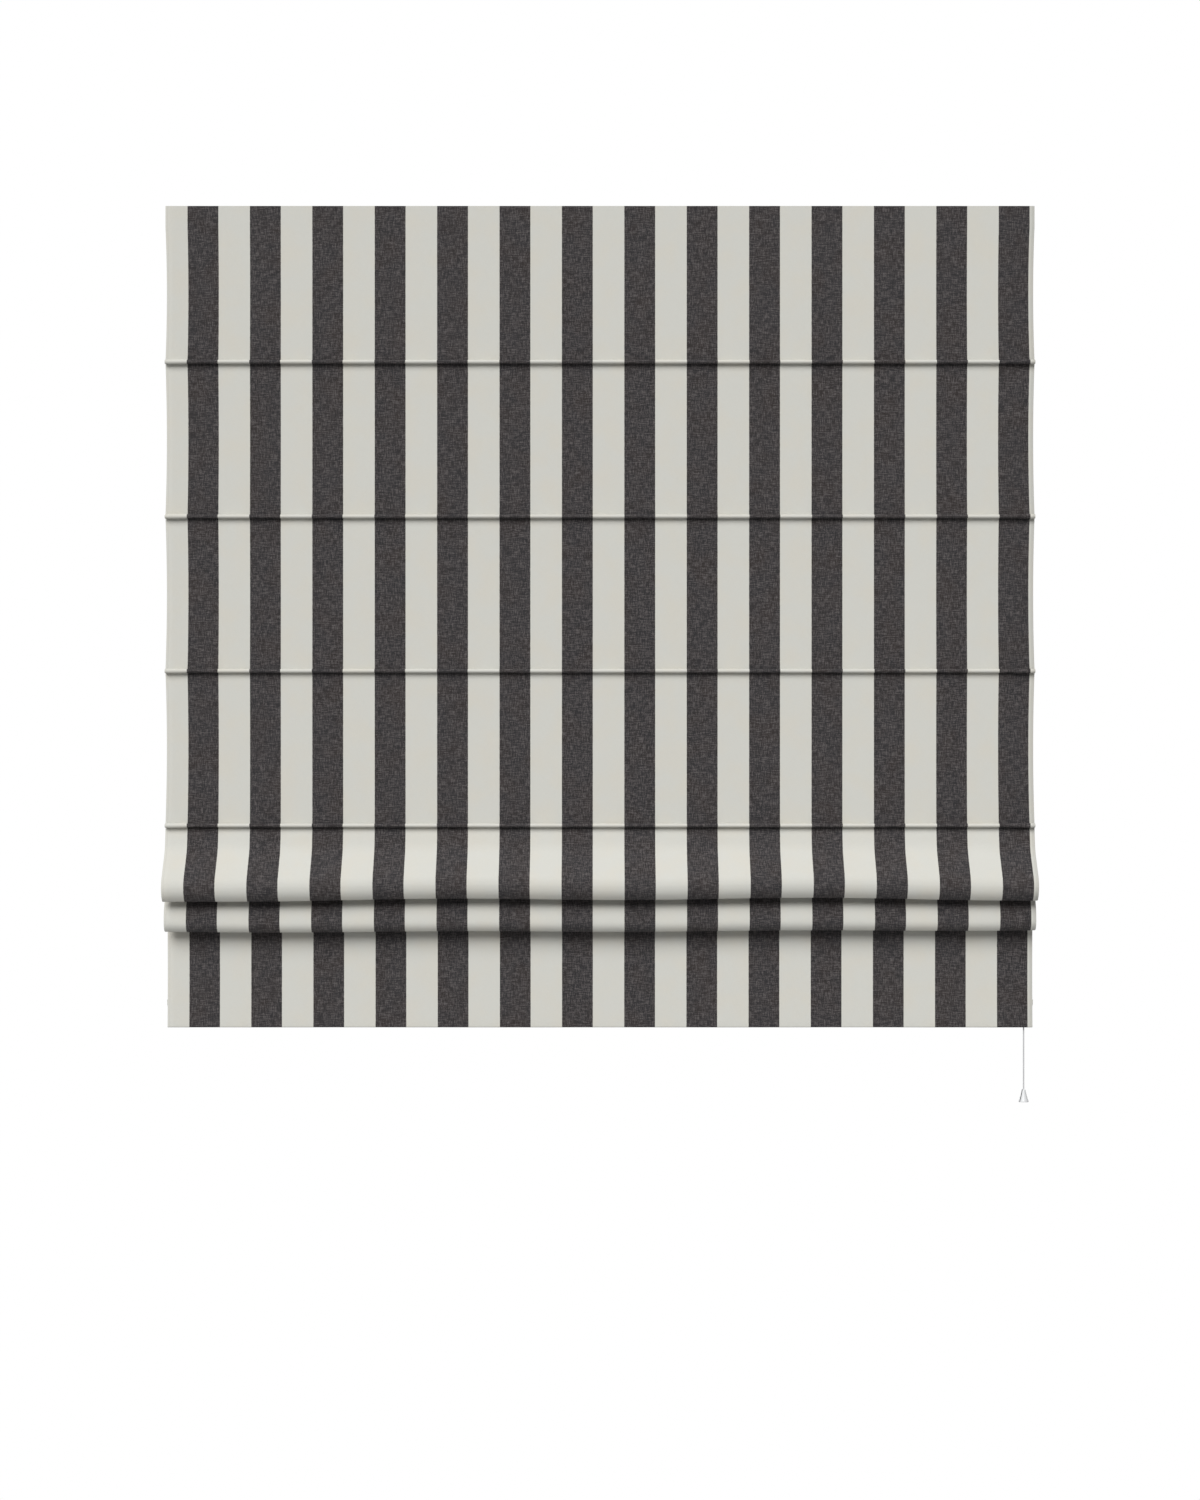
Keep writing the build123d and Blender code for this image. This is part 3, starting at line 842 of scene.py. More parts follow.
@dataclass
class Cord:
    """A braided cord along a route of a few points, which its smooth line follows."""

    name: str
    route: tuple[Point, ...]
    radius: float
    material: Material

    def curve(self) -> Object:
        """The cord as a curve of one open spline.

        Returns:
            The curve's object, whose bevel is the cord's radius.
        """
        data = bpy.data.curves.new(self.name, "CURVE")
        data.dimensions = "3D"
        data.resolution_u = 6
        data.bevel_depth = self.radius
        data.bevel_resolution = 3
        data.use_fill_caps = True
        spline = data.splines.new("NURBS")
        spline.points.add(len(self.route) - 1)
        for point, (x, y, z) in zip(spline.points, self.route):
            point.co = (x * MM, y * MM, z * MM, 1)
        spline.order_u = 3
        spline.use_endpoint_u = True
        data.materials.append(self.material)
        return shown(data, self.name)

    def tube(self) -> tuple[Mesh, list[list[float]]]:
        """The cord as a mesh.

        Returns:
            The mesh, and the points of the line that it follows.
        """
        cord = self.curve()
        mesh = evaluated(cord)
        cord.data.bevel_depth = 0
        cord.data.use_fill_caps = False
        path = [list(v.co) for v in evaluated(cord).vertices]
        bpy.data.objects.remove(cord)
        return mesh, path


def joined(name: str, meshes: Sequence[Mesh], material: Material) -> Object:
    """Several meshes as one piece.

    Args:
        name: the piece's name.
        meshes: the meshes, in place.
        material: the finish of them all.

    Returns:
        The piece.
    """
    spots: list[tuple[float, ...]] = []
    faces: list[list[int]] = []
    for mesh in meshes:
        first = len(spots)
        spots += [tuple(v.co) for v in mesh.vertices]
        faces += [[first + i for i in face.vertices] for face in mesh.polygons]
    return smoothed(name, spots, faces, material, 40)


@dataclass
class LiftCords:
    """The four lift cords, from their knots under the lowest rings to the condenser."""

    material: Material
    gather: float = 0.8
    below_ring: float = 21.5
    wheel_foot: float = -6.0
    over_wheel: tuple[float, float] = (8.0, 17.0)
    lane_run: float = 77.0
    lane_end: float = 615.0
    knot_size: float = 0.62
    knot_twist: float = 1.6
    knot_depth: float = 0.55
    knot_cord: float = 0.6
    knot_steps: int = 24

    def route(self, x: float, lane: float) -> tuple[Point, ...]:
        """A cord's way in the headrail: over its wheel at x, along its lane and down through the lock.

        Args:
            x: where the cord comes up.
            lane: how far back it runs.

        Returns:
            The points that it follows, in mm.
        """
        join = min(x + self.lane_run, self.lane_end)
        start, off = (x + step for step in self.over_wheel)
        level = (
            (x, LIFT_Y), (start, LIFT_Y), (off, LIFT_Y), ((off + join) / 2, (LIFT_Y + lane) / 2),
            (join, lane), ((join + DROP_X) / 2, lane), (DROP_X - self.over_wheel[0], lane), (DROP_X, lane),
        )
        return (
            (x, LIFT_Y, HEAD_END), (x, LIFT_Y, self.wheel_foot), *((*spot, WHEEL_TOP) for spot in level),
            (DROP_X, lane, self.wheel_foot), (DROP_X, lane, LOCK_FOOT),
        )

    def straight(self, name: str, ends: Sequence[tuple[Point, Point]]) -> Object:
        """A straight stretch of each cord, as one piece.

        Args:
            name: the piece's name.
            ends: the upper and the lower end of each stretch, in mm.

        Returns:
            The piece.
        """
        tubes = []
        for a, b in ends:
            middle = tuple((p + q) / 2 for p, q in zip(a, b))
            tubes.append(Cord(name, (a, middle, b), LIFT_R * MM, self.material).tube()[0])
        piece = joined(name, tubes, self.material)
        return piece

    def low_y(self, z: float) -> float:
        """Where a cord lies at a height between the fourth and the lowest ring."""
        share = (RING_Z[3] - z) / (RING_Z[3] - RING_Z[5])
        return LIFT_Y + (LIFT_LOW_Y - LIFT_Y) * min(max(share, 0.0), 1.0)

    def build(self) -> None:
        """Makes the cords, each stretch with the way that it moves."""
        tubes = [Cord("rail_run", self.route(x, lane), LIFT_R * MM, self.material).tube()[0]
                 for x, lane in zip(LIFT_X, LANES)]
        run = joined("lift_cords_rail", tubes, self.material)
        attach(run, "root")
        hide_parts("lift_cord_1", "lift_cord_2", "lift_cord_3", "lift_cord_4")
        high, above = HEAD_END, "root"
        for i, (low, travel) in enumerate(zip(SEAMS, RISES), 1):
            piece = self.straight(f"lift_cords_{i}", [((x, LIFT_Y, high), (x, LIFT_Y, low)) for x in LIFT_X])
            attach(piece, above)
            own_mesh(piece)
            high, above = low, f"batten_{i}"
        for i in (5, 6):
            high, low = RING_Z[i - 2], RING_Z[i - 1]
            ends = [((x, self.low_y(high), high), (x, self.low_y(low), low)) for x in LIFT_X]
            piece = self.straight(f"lift_cords_{i}", ends)
            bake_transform(piece)
        foot = RING_Z[5] - self.below_ring
        ends = [((x, LIFT_LOW_Y, RING_Z[5]), (x, LIFT_LOW_Y, foot)) for x in LIFT_X]
        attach(self.straight("lift_cord_ends", ends), "batten_6")
        self.knots(foot)
        for i, lane in enumerate(LANES, 1):
            tail_y = DROP_Y + (lane - DROP_Y) * self.gather
            middle = ((lane + tail_y) / 2, (LOCK_FOOT + CORD_JOIN) / 2)
            route = ((DROP_X, lane, LOCK_FOOT), (DROP_X, *middle), (DROP_X, tail_y, CORD_JOIN))
            mesh, path = Cord(f"cord_tail_{i}", route, LIFT_R * MM, self.material).tube()
            tail = joined(f"cord_tail_{i}", [mesh], self.material)
            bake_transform(tail)
        LOG.info("four lift cords with their tails")

    def knots(self, foot: float) -> None:
        """An overhand knot on each cord's end, under its stop.

        Args:
            foot: the height of the cords' ends, in mm.
        """
        tubes = []
        for x in LIFT_X:
            turns = []
            for i in range(self.knot_steps + 1):
                a = math.tau * i / self.knot_steps
                turns.append((
                    x + self.knot_size * (math.sin(a) + self.knot_twist * math.sin(2 * a)),
                    LIFT_LOW_Y + self.knot_size * (math.cos(a) - self.knot_twist * math.cos(2 * a)),
                    foot + self.knot_depth * math.sin(3 * a),
                ))
            tubes.append(Cord("knot", tuple(turns), self.knot_cord * MM, self.material).tube()[0])
        piece = joined("lift_cord_knots", tubes, self.material)
        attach(piece, "batten_6")


@dataclass
class RingThreads:
    """The thread that whips each ring to its batten's seam."""

    material: Material
    turns: int = 4
    spacing: float = 0.8
    behind: float = 6.55
    radius: float = 0.0013
    thick: float = 0.0003
    stretch: float = 1.35

    def tree(self) -> Tree:
        """The tree that sets a loop of thread on every point.

        Returns:
            The tree, which reads points and puts out the loops.
        """
        t = Tree.fresh("whipping", "GeometryNodeTree")
        points = t.input("Points", "Geometry")
        radius = t.input("Radius", "Float", 0.0015)
        thread = t.input("Thread", "Float", 0.0003)
        material = t.input("Material", "Material")
        loop, wire = (
            t.add("GeometryNodeCurvePrimitiveCircle", {"Resolution": n, "Radius": size}).outputs[0]
            for n, size in ((14, radius), (6, thread))
        )
        tube = t.add("GeometryNodeCurveToMesh", {"Curve": loop, "Profile Curve": wire})
        placed = t.add("GeometryNodeInstanceOnPoints", {
            "Points": points, "Instance": tube.outputs[0], "Rotation": (0.0, math.pi / 2, 0.0),
            "Scale": (1.0, self.stretch, 1.0),
        })
        t.ending(placed.outputs[0], material)
        return t

    def build(self) -> None:
        """Whips the rings of every batten."""
        tree = self.tree()
        for row, (y, z) in enumerate(zip(RING_Y, RING_Z), 1):
            spots = []
            for x in LIFT_X:
                for turn in range(self.turns):
                    along = (turn - (self.turns - 1) / 2) * self.spacing
                    spots.append(((x + along) * MM, (y - self.behind) * MM, z * MM))
            piece = grown(meshed(f"ring_points_{row}", spots), f"ring_threads_{row}", tree, {
                "Radius": self.radius, "Thread": self.thick, "Material": self.material,
            })
            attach(piece, f"batten_{row}")
        LOG.info("rings whipped to %d battens", len(RING_Z))


@dataclass
class Pull:
    """The pull cord with its condenser and its bell. The knot in the bell is the CAD node's own."""

    cord: Material
    plastic: Material
    heights: tuple[float, ...] = (-581.0, -760.0, -940.0, -1130.0, -1316.0)
    radius: float = 0.001
    segments: int = 48

    def lathe(self, name: str, profile: Sequence[tuple[float, float]], slot: float = 0.0) -> Object:
        """A turned piece about the pull cord.

        Args:
            name: the piece's name.
            profile: radius and height of each point of its closed outline, in mm.
            slot: the width of the slot in its side that lets the cord in, or 0 for none.

        Returns:
            The piece, with a smooth surface.
        """
        spots, faces, count = [], [], len(profile)
        columns = self.segments + 1 if slot else self.segments
        for i in range(columns):
            for radius, z in profile:
                half = math.asin(slot / 2 / radius)
                a = math.radians(SLOT_TURN) + half + (math.tau - 2 * half) * i / self.segments
                x, y = DROP_X + radius * math.cos(a), DROP_Y + radius * math.sin(a)
                spots.append((x * MM, y * MM, z * MM))
        for i in range(self.segments):
            j = (i + 1) % columns
            for k in range(count):
                m = (k + 1) % count
                faces.append((i * count + k, j * count + k, j * count + m, i * count + m))
        if slot:
            faces += [tuple(range(count)), tuple(reversed(range(self.segments * count, columns * count)))]
        return smoothed(name, spots, faces, self.plastic, 42)

    def build(self) -> None:
        """Makes the cord, the bell and the condenser."""
        route = tuple((DROP_X, DROP_Y, z) for z in self.heights)
        cord = Cord("pull_line", route, self.radius, self.cord).curve()
        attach(cord, "pull")
        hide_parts("pull_cord")
        bell = self.lathe("bell", (
            (1.15, -1307.7), (1.9, -1307.5), (2.5, -1308.0), (2.9, -1309.2), (3.3, -1311.2), (4.0, -1314.2),
            (4.9, -1317.6), (5.9, -1321.0), (6.9, -1323.9), (7.5, -1325.5), (7.6, -1326.1), (7.4, -1326.5),
            (6.9, -1326.4), (6.7, -1325.9), (5.9, -1323.8), (4.9, -1320.8), (4.0, -1317.6), (3.2, -1314.4),
            (2.8, -1312.3), (1.15, -1312.2),
        ), SLOT_WIDTH)
        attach(bell, "pull")
        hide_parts("pull_bell")
        joiner = self.lathe("joiner", (
            (3.7, -560.3), (4.1, -560.0), (4.5, -560.4), (4.9, -563.0), (5.15, -566.0), (5.15, -581.5),
            (4.7, -583.4), (3.9, -587.2), (3.1, -590.8), (2.7, -592.0), (1.15, -592.0), (1.15, -582.0),
            (3.6, -580.6),
        ))
        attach(joiner, "pull")
        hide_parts("condenser")
        LOG.info("pull cord with its bell")


# Finishes


def weave_group() -> NodeTree:
    """A woven surface for cloth and tape.

    Returns:
        A group that turns a place on the cloth into the threads' height, their slubs and the flecks.
    """
    t = Tree.fresh("weave", "ShaderNodeTree")
    place = t.input("Place", "Vector")
    pitch = t.input("Pitch", "Float", 0.001)
    slub = t.input("Slub", "Float", 0.5)
    x, y, _ = t.parts(place)
    waves = []
    for along, across in ((x, y), (y, x)):
        turn = t.times(t.math("DIVIDE", along, pitch), math.pi)
        row = t.times(t.math("DIVIDE", across, pitch), math.pi)
        crown = t.math("ABSOLUTE", t.math("SINE", turn))
        over = t.math("MULTIPLY_ADD", t.times(t.math("SINE", turn), t.math("SINE", row)), 0.5, 0.5)
        waves.append(t.times(crown, over if along is x else t.minus(1.0, over)))
    threads = t.math("MAXIMUM", waves[0], waves[1])
    uneven = [
        t.noise(t.vector("MULTIPLY", place, stretch), 1.0, 3.0, 0.6)
        for stretch in ((160.0, 1500.0, 1.0), (1500.0, 160.0, 1.0))
    ]
    slubs = t.minus(t.plus(uneven[0], uneven[1]), 1.0)
    stray = []
    for stretch in ((85.0, 720.0, 1.0), (760.0, 95.0, 1.0), (680.0, 720.0, 1.0)):
        spot = t.vector("ADD", t.vector("MULTIPLY", place, stretch), (7.3, 2.9, 5.1))
        stray.append(t.minus(t.noise(spot, 1.0, 1.0, 0.6), 0.5))
    flecks = t.math("MULTIPLY_ADD", stray[2], 0.8, t.plus(stray[0], stray[1]))
    t.output("Height", "Float", t.math("MULTIPLY_ADD", slubs, slub, threads))
    t.output("Slubs", "Float", slubs)
    t.output("Flecks", "Float", flecks)
    return t.group


def grain_group() -> NodeTree:
    """A fine moulded, drawn or coated surface.

    Returns:
        A group that turns a place into a height and a mask, stretched along the piece's length.
    """
    t = Tree.fresh("grain", "ShaderNodeTree")
    place = t.input("Place", "Vector")
    size = t.input("Size", "Float", 900.0)
    drawn = t.input("Drawn", "Float", 0.0)
    x, y, z = t.parts(place)
    along = t.times(x, t.minus(1.0, drawn))
    spot = t.vector("SCALE", t.combine(along, y, z), size)
    t.output("Height", "Float", t.noise(spot, 1.0, 4.0, 0.55))
    t.output("Mask", "Float", t.noise(place, 14.0))
    return t.group


@dataclass
class Finish:
    """A material with its Principled shader, built a node at a time."""

    name: str
    roughness: float = 0.5
    material: Material = field(init=False)
    tree: Tree = field(init=False)
    shader: bpy.types.Node = field(init=False)

    def __post_init__(self) -> None:
        """Starts the material."""
        self.material = bpy.data.materials.new(self.name)
        self.material.use_nodes = True
        self.tree = Tree(self.material.node_tree)
        self.shader = self.tree.group.nodes["Principled BSDF"]
        self.shader.inputs["Roughness"].default_value = self.roughness

    def set(self, name: str, value: object) -> None:
        """Sets or links an input of the shader."""
        self.tree.feed(self.shader.inputs[name], value)

    def group(self, group: NodeTree, inputs: dict) -> bpy.types.Node:
        """Adds a shared group with this material's own values."""
        return self.tree.add("ShaderNodeGroup", inputs, node_tree=group)

    def mix(self, share: object, low: object, high: object, blend: str = "MIX") -> Socket:
        """A colour between low and high by share, or the two put together as blend says."""
        inputs = {0: share, 6: low, 7: high}
        return self.tree.add("ShaderNodeMix", inputs, data_type="RGBA", blend_type=blend).outputs[2]

    def bump(self, height: Socket, distance: float, strength: float = 1.0) -> None:
        """Raises the surface by a height."""
        node = self.tree.add("ShaderNodeBump", {"Height": height, "Distance": distance, "Strength": strength})
        self.set("Normal", node.outputs["Normal"])

    def place(self, uv: bool = False) -> Socket:
        """Where the shader stands on the piece.

        Args:
            uv: whether it reads the piece's UV map in place of object coordinates.

        Returns:
            The place's socket.
        """
        if uv:
            return self.tree.add("ShaderNodeUVMap", uv_map="UVMap").outputs[0]
        return self.tree.add("ShaderNodeTexCoord").outputs["Object"]


@dataclass(frozen=True)
class Stripes:
    """The upright stripes of the canvas, in metres across the cloth."""

    first: float = -0.61737
    period: float = 0.093387
    dark: float = 0.04624
    soft: float = 0.0004
    pale_colour: Colour = (0.650, 0.646, 0.598, 1)
    warm_colour: Colour = (0.660, 0.642, 0.578, 1)
    dark_colour: Colour = (0.0305, 0.0288, 0.0305, 1)
    brown_colour: Colour = (0.0340, 0.0284, 0.0274, 1)
    fleck_colour: Colour = (0.114, 0.103, 0.102, 1)
    cloud_scale: float = 22.0
    cloud_from: float = 0.42
    cloud_gain: float = 4.0
    # The crease line near each side edge is painted shade: a thin darker line where the hem's folded edge
    # would shade the cloth.
    crease: float = 0.6470
    crease_width: float = 0.0008
    crease_shade: float = 0.10
    slub_shade: float = 0.06
    slub_sway: float = 0.0007
    fleck_gain: float = 2.6
    fleck_share: float = 0.22

    def build(self, weave: NodeTree) -> Material:
        """The canvas: cream with dark stripes, in an uneven weave.

        Args:
            weave: the shared weave.

        Returns:
            The material.
        """
        f = Finish("striped canvas", 0.88)
        t = f.tree
        place = f.place(uv=True)
        u, v, _ = t.parts(place)
        woven = f.group(weave, {"Place": place, "Pitch": Weft.CANVAS.value, "Slub": 0.9})
        height, slubs = woven.outputs["Height"], woven.outputs["Slubs"]
        stray = t.times(slubs, self.slub_sway)
        phase = t.math("WRAP", t.plus(u, stray), self.first + self.period, self.first)
        from_middle = t.math("ABSOLUTE", t.minus(phase, self.first + self.dark / 2))
        mask = t.ramp(from_middle, self.dark / 2 - self.soft, self.dark / 2 + self.soft, (1.0, 0.0))
        cloud = t.noise(place, self.cloud_scale, 3.0)
        warm = t.math("MULTIPLY", t.minus(cloud, self.cloud_from), self.cloud_gain, clamp=True)
        pale = f.mix(warm, self.pale_colour, self.warm_colour)
        ground = f.mix(warm, self.dark_colour, self.brown_colour)
        fleck = t.math("MULTIPLY_ADD", woven.outputs["Flecks"], self.fleck_gain, self.fleck_share, clamp=True)
        dark = f.mix(fleck, ground, self.fleck_colour)
        colour = f.mix(mask, pale, dark)
        # Painted shade: a thin line near each side edge, where the hem's folded edge would cast shade,
        # darkens the colour.
        off = t.math("ABSOLUTE", t.minus(t.math("ABSOLUTE", u), self.crease))
        crease = t.ramp(off, 0.0, self.crease_width, (self.crease_shade, 0.0))
        shade = t.minus(t.math("MULTIPLY_ADD", slubs, self.slub_shade, 1.0), crease)
        f.set("Base Color", f.mix(1.0, colour, t.combine(shade, shade, shade), "MULTIPLY"))
        f.set("Roughness", t.math("MULTIPLY_ADD", height, -0.08, 0.9))
        f.set("Sheen Weight", 0.03)
        f.set("Sheen Roughness", 0.6)
        f.set("Specular IOR Level", 0.16)
        f.bump(height, 0.00022, 0.55)
        return f.material


@dataclass(frozen=True)
class Plain:
    """A finish of one colour with a fine grain and a little unevenness."""

    name: str
    colour: tuple[float, float, float]
    shade: tuple[float, float, float]
    roughness: float
    size: float = 900.0
    drawn: float = 0.0
    depth: float = 0.00003
    metal: float = 0.0
    clear: float = 0.0
    paints_slot_shade: bool = False
    # The colour of the painted shade in and beside the bell's slot.
    painted_slot_shade: Colour = (0.10, 0.10, 0.105, 1)
    shine_swing: float = 0.16

    def slot(self, tree: Tree, place: Socket) -> Socket:
        """A mask of the bell's slot and its edges, which the finish paints dark as the slot's shade.

        Args:
            tree: the material's tree.
            place: the object coordinates.

        Returns:
            The mask's socket.
        """
        turn = math.radians(SLOT_TURN)
        x, y, z = tree.parts(tree.vector("SUBTRACT", place, (DROP_X * MM, DROP_Y * MM, BELL_TOP * MM)))
        across = tree.math("MULTIPLY_ADD", x, -math.sin(turn), tree.times(y, math.cos(turn)))
        ahead = tree.math("MULTIPLY_ADD", x, math.cos(turn), tree.times(y, math.sin(turn)))
        near = tree.ramp(tree.math("ABSOLUTE", across), 0.8 * SLOT_SHADE * MM, SLOT_SHADE * MM, (1.0, 0.0))
        on_side = tree.times(near, tree.math("GREATER_THAN", ahead, 0.0))
        return tree.times(on_side, tree.math("LESS_THAN", z, 0.0))

    def build(self, grain: NodeTree) -> Material:
        """Makes the finish.

        Args:
            grain: the shared grain.

        Returns:
            The material.
        """
        f = Finish(self.name, self.roughness)
        t = f.tree
        place = f.place()
        node = f.group(grain, {"Place": place, "Size": self.size, "Drawn": self.drawn})
        colour = f.mix(node.outputs["Mask"], (*self.colour, 1), (*self.shade, 1))
        # Painted shade: the slot and its edges are darkened to stand in for the shade in the gap.
        if self.paints_slot_shade:
            colour = f.mix(self.slot(t, place), colour, self.painted_slot_shade)
        f.set("Base Color", colour)
        swing = self.shine_swing
        f.set("Roughness", t.math("MULTIPLY_ADD", node.outputs["Height"], swing, self.roughness - swing / 2))
        f.set("Metallic", self.metal)
        f.set("Transmission Weight", self.clear)
        f.bump(node.outputs["Height"], self.depth, 0.6)
        return f.material


@dataclass(frozen=True)
class Braid:
    """White braided cord, with strands that cross as they wind round it."""

    around: float = 3400.0
    along: float = 2300.0
    low_colour: Colour = (0.40, 0.40, 0.41, 1)
    high_colour: Colour = (0.63, 0.63, 0.64, 1)

    def build(self) -> Material:
        """Makes the finish.

        Returns:
            The material.
        """
        f = Finish("braided cord", 0.72)
        t = f.tree
        x, y, z = t.parts(f.place())
        height = t.math("MAXIMUM", *(
            t.math("SINE", t.math("MULTIPLY_ADD", t.plus(x, y), sign * self.around, t.times(z, self.along)))
            for sign in (1.0, -1.0)
        ))
        # The grey is the cord's own colour; the darker dips between the strands are painted shade.
        f.set("Base Color", f.mix(t.ramp(height, -0.4, 0.7), self.low_colour, self.high_colour))
        f.bump(height, 0.00012, 0.8)
        return f.material


@dataclass(frozen=True)
class TouchTape:
    """Touch tape: a woven band with a short fuzz."""

    fuzz_scale: float = 900.0
    low_colour: Colour = (0.55, 0.55, 0.54, 1)
    high_colour: Colour = (0.80, 0.80, 0.78, 1)

    def build(self, weave: NodeTree) -> Material:
        """Makes the finish.

        Args:
            weave: the shared weave.

        Returns:
            The material.
        """
        f = Finish("touch tape", 0.85)
        t = f.tree
        x, y, z = t.parts(f.place())
        woven = f.group(weave, {"Place": t.combine(x, z, y), "Pitch": Weft.TAPE.value, "Slub": 1.2})
        fuzz = t.noise(f.place(), self.fuzz_scale, 4.0)
        f.set("Base Color", f.mix(fuzz, self.low_colour, self.high_colour))
        f.bump(t.plus(woven.outputs["Height"], fuzz), 0.0004, 0.8)
        return f.material


@dataclass(frozen=True)
class Thread:
    """Sewing thread, twisted from two plies."""

    twist: float = 9000.0
    low_colour: Colour = (0.58, 0.57, 0.52, 1)
    high_colour: Colour = (0.76, 0.75, 0.69, 1)

    def build(self) -> Material:
        """Makes the finish.

        Returns:
            The material.
        """
        f = Finish("sewing thread", 0.6)
        t = f.tree
        twist = t.math("SINE", t.times(t.plus(*t.parts(f.place())), self.twist))
        # Darker in the grooves of the twist and lighter on its crowns, which is painted shade on the thread's
        # own cream.
        f.set("Base Color", f.mix(t.ramp(twist, -0.6, 0.6), self.low_colour, self.high_colour))
        f.bump(twist, 0.00006, 0.7)
        return f.material


@dataclass
class Hardware:
    """The finishes of the CAD pieces behind the cloth."""

    grain: NodeTree

    def dress(self, cord: Material, tape: Material) -> dict[str, Material]:
        """Gives every CAD node that is shown its finish.

        Args:
            cord: the cords' finish.
            tape: the tapes' finish.

        Returns:
            The finishes by the record's slot.
        """
        finishes = {
            "white_rail": Plain("powder coat", (0.80, 0.80, 0.79), (0.74, 0.74, 0.73), 0.42, 1400, 0.9),
            "white_plastic": Plain("white moulding", (0.79, 0.79, 0.77), (0.72, 0.72, 0.70), 0.46, 700),
            "bracket_steel": Plain("zinc plate", (0.60, 0.61, 0.63), (0.44, 0.46, 0.50), 0.34, 220, metal=1),
            "lever_plastic": Plain("lever moulding", (0.74, 0.74, 0.74), (0.66, 0.66, 0.66), 0.4, 700),
            "steel_pin": Plain("turned steel", (0.56, 0.57, 0.58), (0.46, 0.47, 0.49), 0.28, 2600, metal=1),
            "fibreglass": Plain("fibreglass rod", (0.74, 0.75, 0.68), (0.66, 0.67, 0.60), 0.38, 3000, 0.97),
            "clear_ring": Plain("clear ring", (0.90, 0.92, 0.93), (0.82, 0.84, 0.86), 0.14, 300, clear=0.7),
            "bar": Plain("rolled bar", (0.62, 0.63, 0.65), (0.52, 0.53, 0.56), 0.32, 1800, 0.96, metal=1),
            # The bell's finish has painted shade in and beside its slot.
            "pull_plastic": Plain(
                "pale moulding", (0.74, 0.75, 0.75), (0.70, 0.71, 0.72), 0.36, 500, paints_slot_shade=True,
            ),
        }
        made = {slot: finish.build(self.grain) for slot, finish in finishes.items()}
        made.update({"white_cord": cord, "tape": tape})
        slots = {row["node"]: row["material_slot"] for row in frame["record"]["subparts"]}
        for name, node in frame["nodes"].items():
            slot = slots.get(name)
            if slot in made and not node.hide_render:
                node.data.materials.clear()
                node.data.materials.append(made[slot])
        LOG.info("%d CAD nodes dressed", sum(not node.hide_render for node in frame["nodes"].values()))
        return made


# The stage


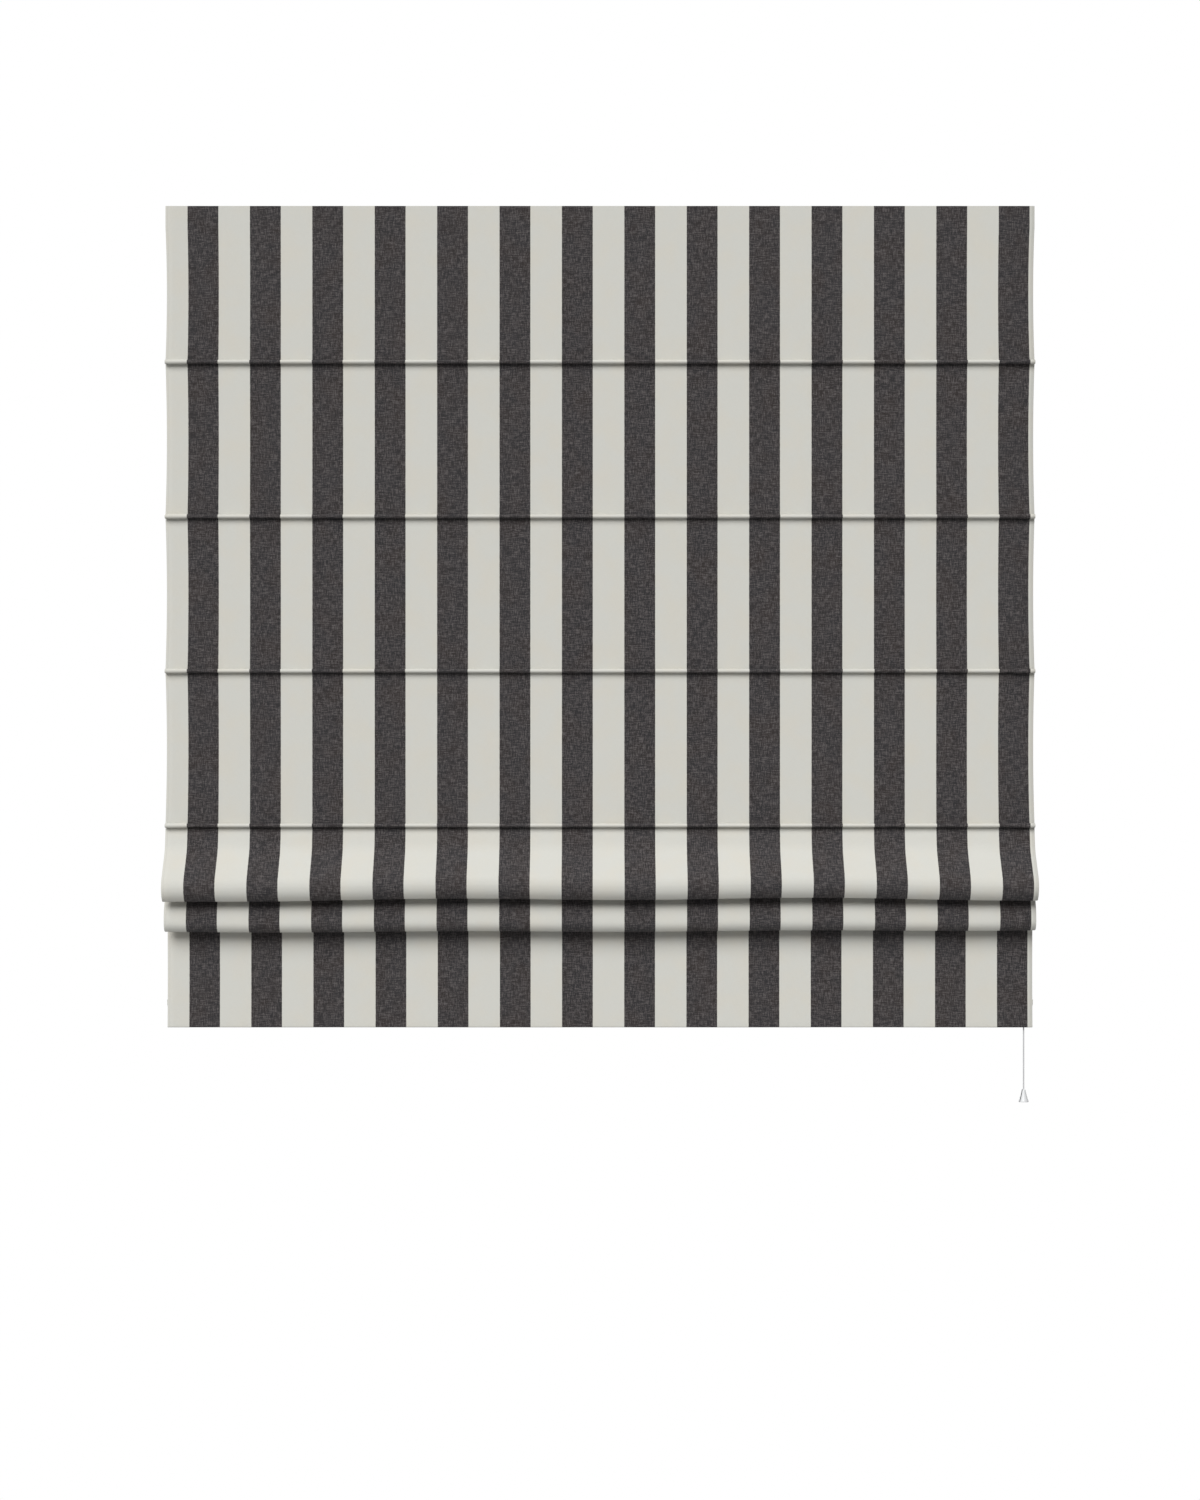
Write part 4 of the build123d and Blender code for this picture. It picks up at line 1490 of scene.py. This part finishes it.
@dataclass
class Stage:
    """The floor, the lights and the camera."""

    distance: float = 4.0
    cloth_y: float = -0.042
    eye_z: float = -0.7972
    lens: float = 64.15
    floor_z: float = -2.35
    floor_corners: tuple[tuple[float, float], tuple[float, float]] = ((-4.0, -6.0), (4.0, 1.3))
    floor_colours: tuple[Colour, Colour] = ((0.86, 0.86, 0.86, 1), (0.88, 0.88, 0.88, 1))
    floor_bounce: Colour = (0.40, 0.40, 0.40, 1)
    aim: Point = (0.0, 0.0, -0.6)
    key_place: Point = (-1.3, -3.6, 2.5)
    key_strength: float = 3.02
    key_softness: float = 42.0
    rear_place: Point = (0.4, 3.2, 1.6)
    rear_size: float = 2.6
    rear_watts: float = 120.0
    room_light: float = 0.18

    def camera(self) -> None:
        """The camera at the photograph's place, square to the blind."""
        data = bpy.data.cameras.new("camera")
        data.lens = self.lens
        data.sensor_width = 36.0
        camera = shown(data, "camera")
        camera.location = (0.0, self.cloth_y - self.distance, self.eye_z)
        camera.rotation_euler = (math.radians(90), 0.0, 0.0)
        bpy.context.scene.camera = camera

    def lamp(self, data: bpy.types.Light, place: Point) -> None:
        """Sets up a lamp that faces the blind.

        Args:
            data: the lamp's light.
            place: where it stands.
        """
        lamp = shown(data, data.name)
        lamp.location = place
        lamp.rotation_euler = (Vector(self.aim) - Vector(place)).to_track_quat("-Z", "Y").to_euler()

    def lamps(self) -> None:
        """A soft far lamp before the blind and a square panel behind it."""
        key = bpy.data.lights.new("key", "SUN")
        key.energy = self.key_strength
        key.angle = math.radians(self.key_softness)
        self.lamp(key, self.key_place)
        rear = bpy.data.lights.new("rear", "AREA")
        rear.energy = self.rear_watts
        rear.size = self.rear_size
        self.lamp(rear, self.rear_place)

    def seen(self, tree: Tree) -> Socket:
        """Tells what is seen from what only lights the object.

        Args:
            tree: the tree that gets the nodes.

        Returns:
            A mask that is 1 for rays from the camera, in a mirror or through glass, and 0 for the rest.
        """
        path = tree.add("ShaderNodeLightPath")
        either = tree.math("MAXIMUM", path.outputs["Is Camera Ray"], path.outputs["Is Glossy Ray"])
        return tree.math("MAXIMUM", either, path.outputs["Is Transmission Ray"])

    def world(self) -> None:
        """A plain pale room: white where it is seen, softer where it lights the blind."""
        world = bpy.data.worlds.new("room")
        world.use_nodes = True
        tree = Tree(world.node_tree)
        background = tree.group.nodes["Background"]
        background.inputs["Color"].default_value = (1, 1, 1, 1)
        strength = tree.math("MULTIPLY_ADD", self.seen(tree), 1.0 - self.room_light, self.room_light)
        tree.feed(background.inputs["Strength"], strength)
        bpy.context.scene.world = world

    def floor(self) -> None:
        """A plain pale floor under the blind, which throws back less light than it shows."""
        (left, near), (right, far) = self.floor_corners
        corners = ((left, near), (right, near), (right, far), (left, far))
        mesh = meshed("floor", [(x, y, self.floor_z) for x, y in corners], (), [(0, 1, 2, 3)])
        finish = Finish("floor paint", 0.9)
        t = finish.tree
        pale = finish.mix(t.noise(finish.place(), 3.0), *self.floor_colours)
        finish.set("Base Color", finish.mix(self.seen(t), self.floor_bounce, pale))
        mesh.materials.append(finish.material)
        shown(mesh, "floor")

    def build(self) -> None:
        """Sets up the camera, the room, the floor and the lamps."""
        self.camera()
        self.world()
        self.floor()
        self.lamps()
        bpy.context.scene.view_settings.view_transform = "Standard"
        LOG.info("stage set")


def main() -> None:
    """Builds the blind and its stage in order."""
    logging.basicConfig(level=logging.INFO, format="%(message)s")
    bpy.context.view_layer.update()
    Stage().build()
    cord = Braid().build()
    weave, grain = weave_group(), grain_group()
    tape, thread = TouchTape().build(weave), Thread().build()
    made = Hardware(grain).dress(cord, tape)
    LiftCords(cord).build()
    Pull(cord, made["pull_plastic"]).build()
    stitch = StitchRow(thread)
    Canvas().build(Stripes().build(weave), stitch)
    stitch.straight("tape_stitches", "root", FLAT_Y + TAPE_STITCH, TAPE_ROWS, 640.0)
    stitch.straight("bottom_hem_stitches", "batten_6", FLAT_Y + HEM_BACK, (HEM_ROW,), 645.0)
    RingThreads(thread).build()


if __name__ == "__main__":
    main()
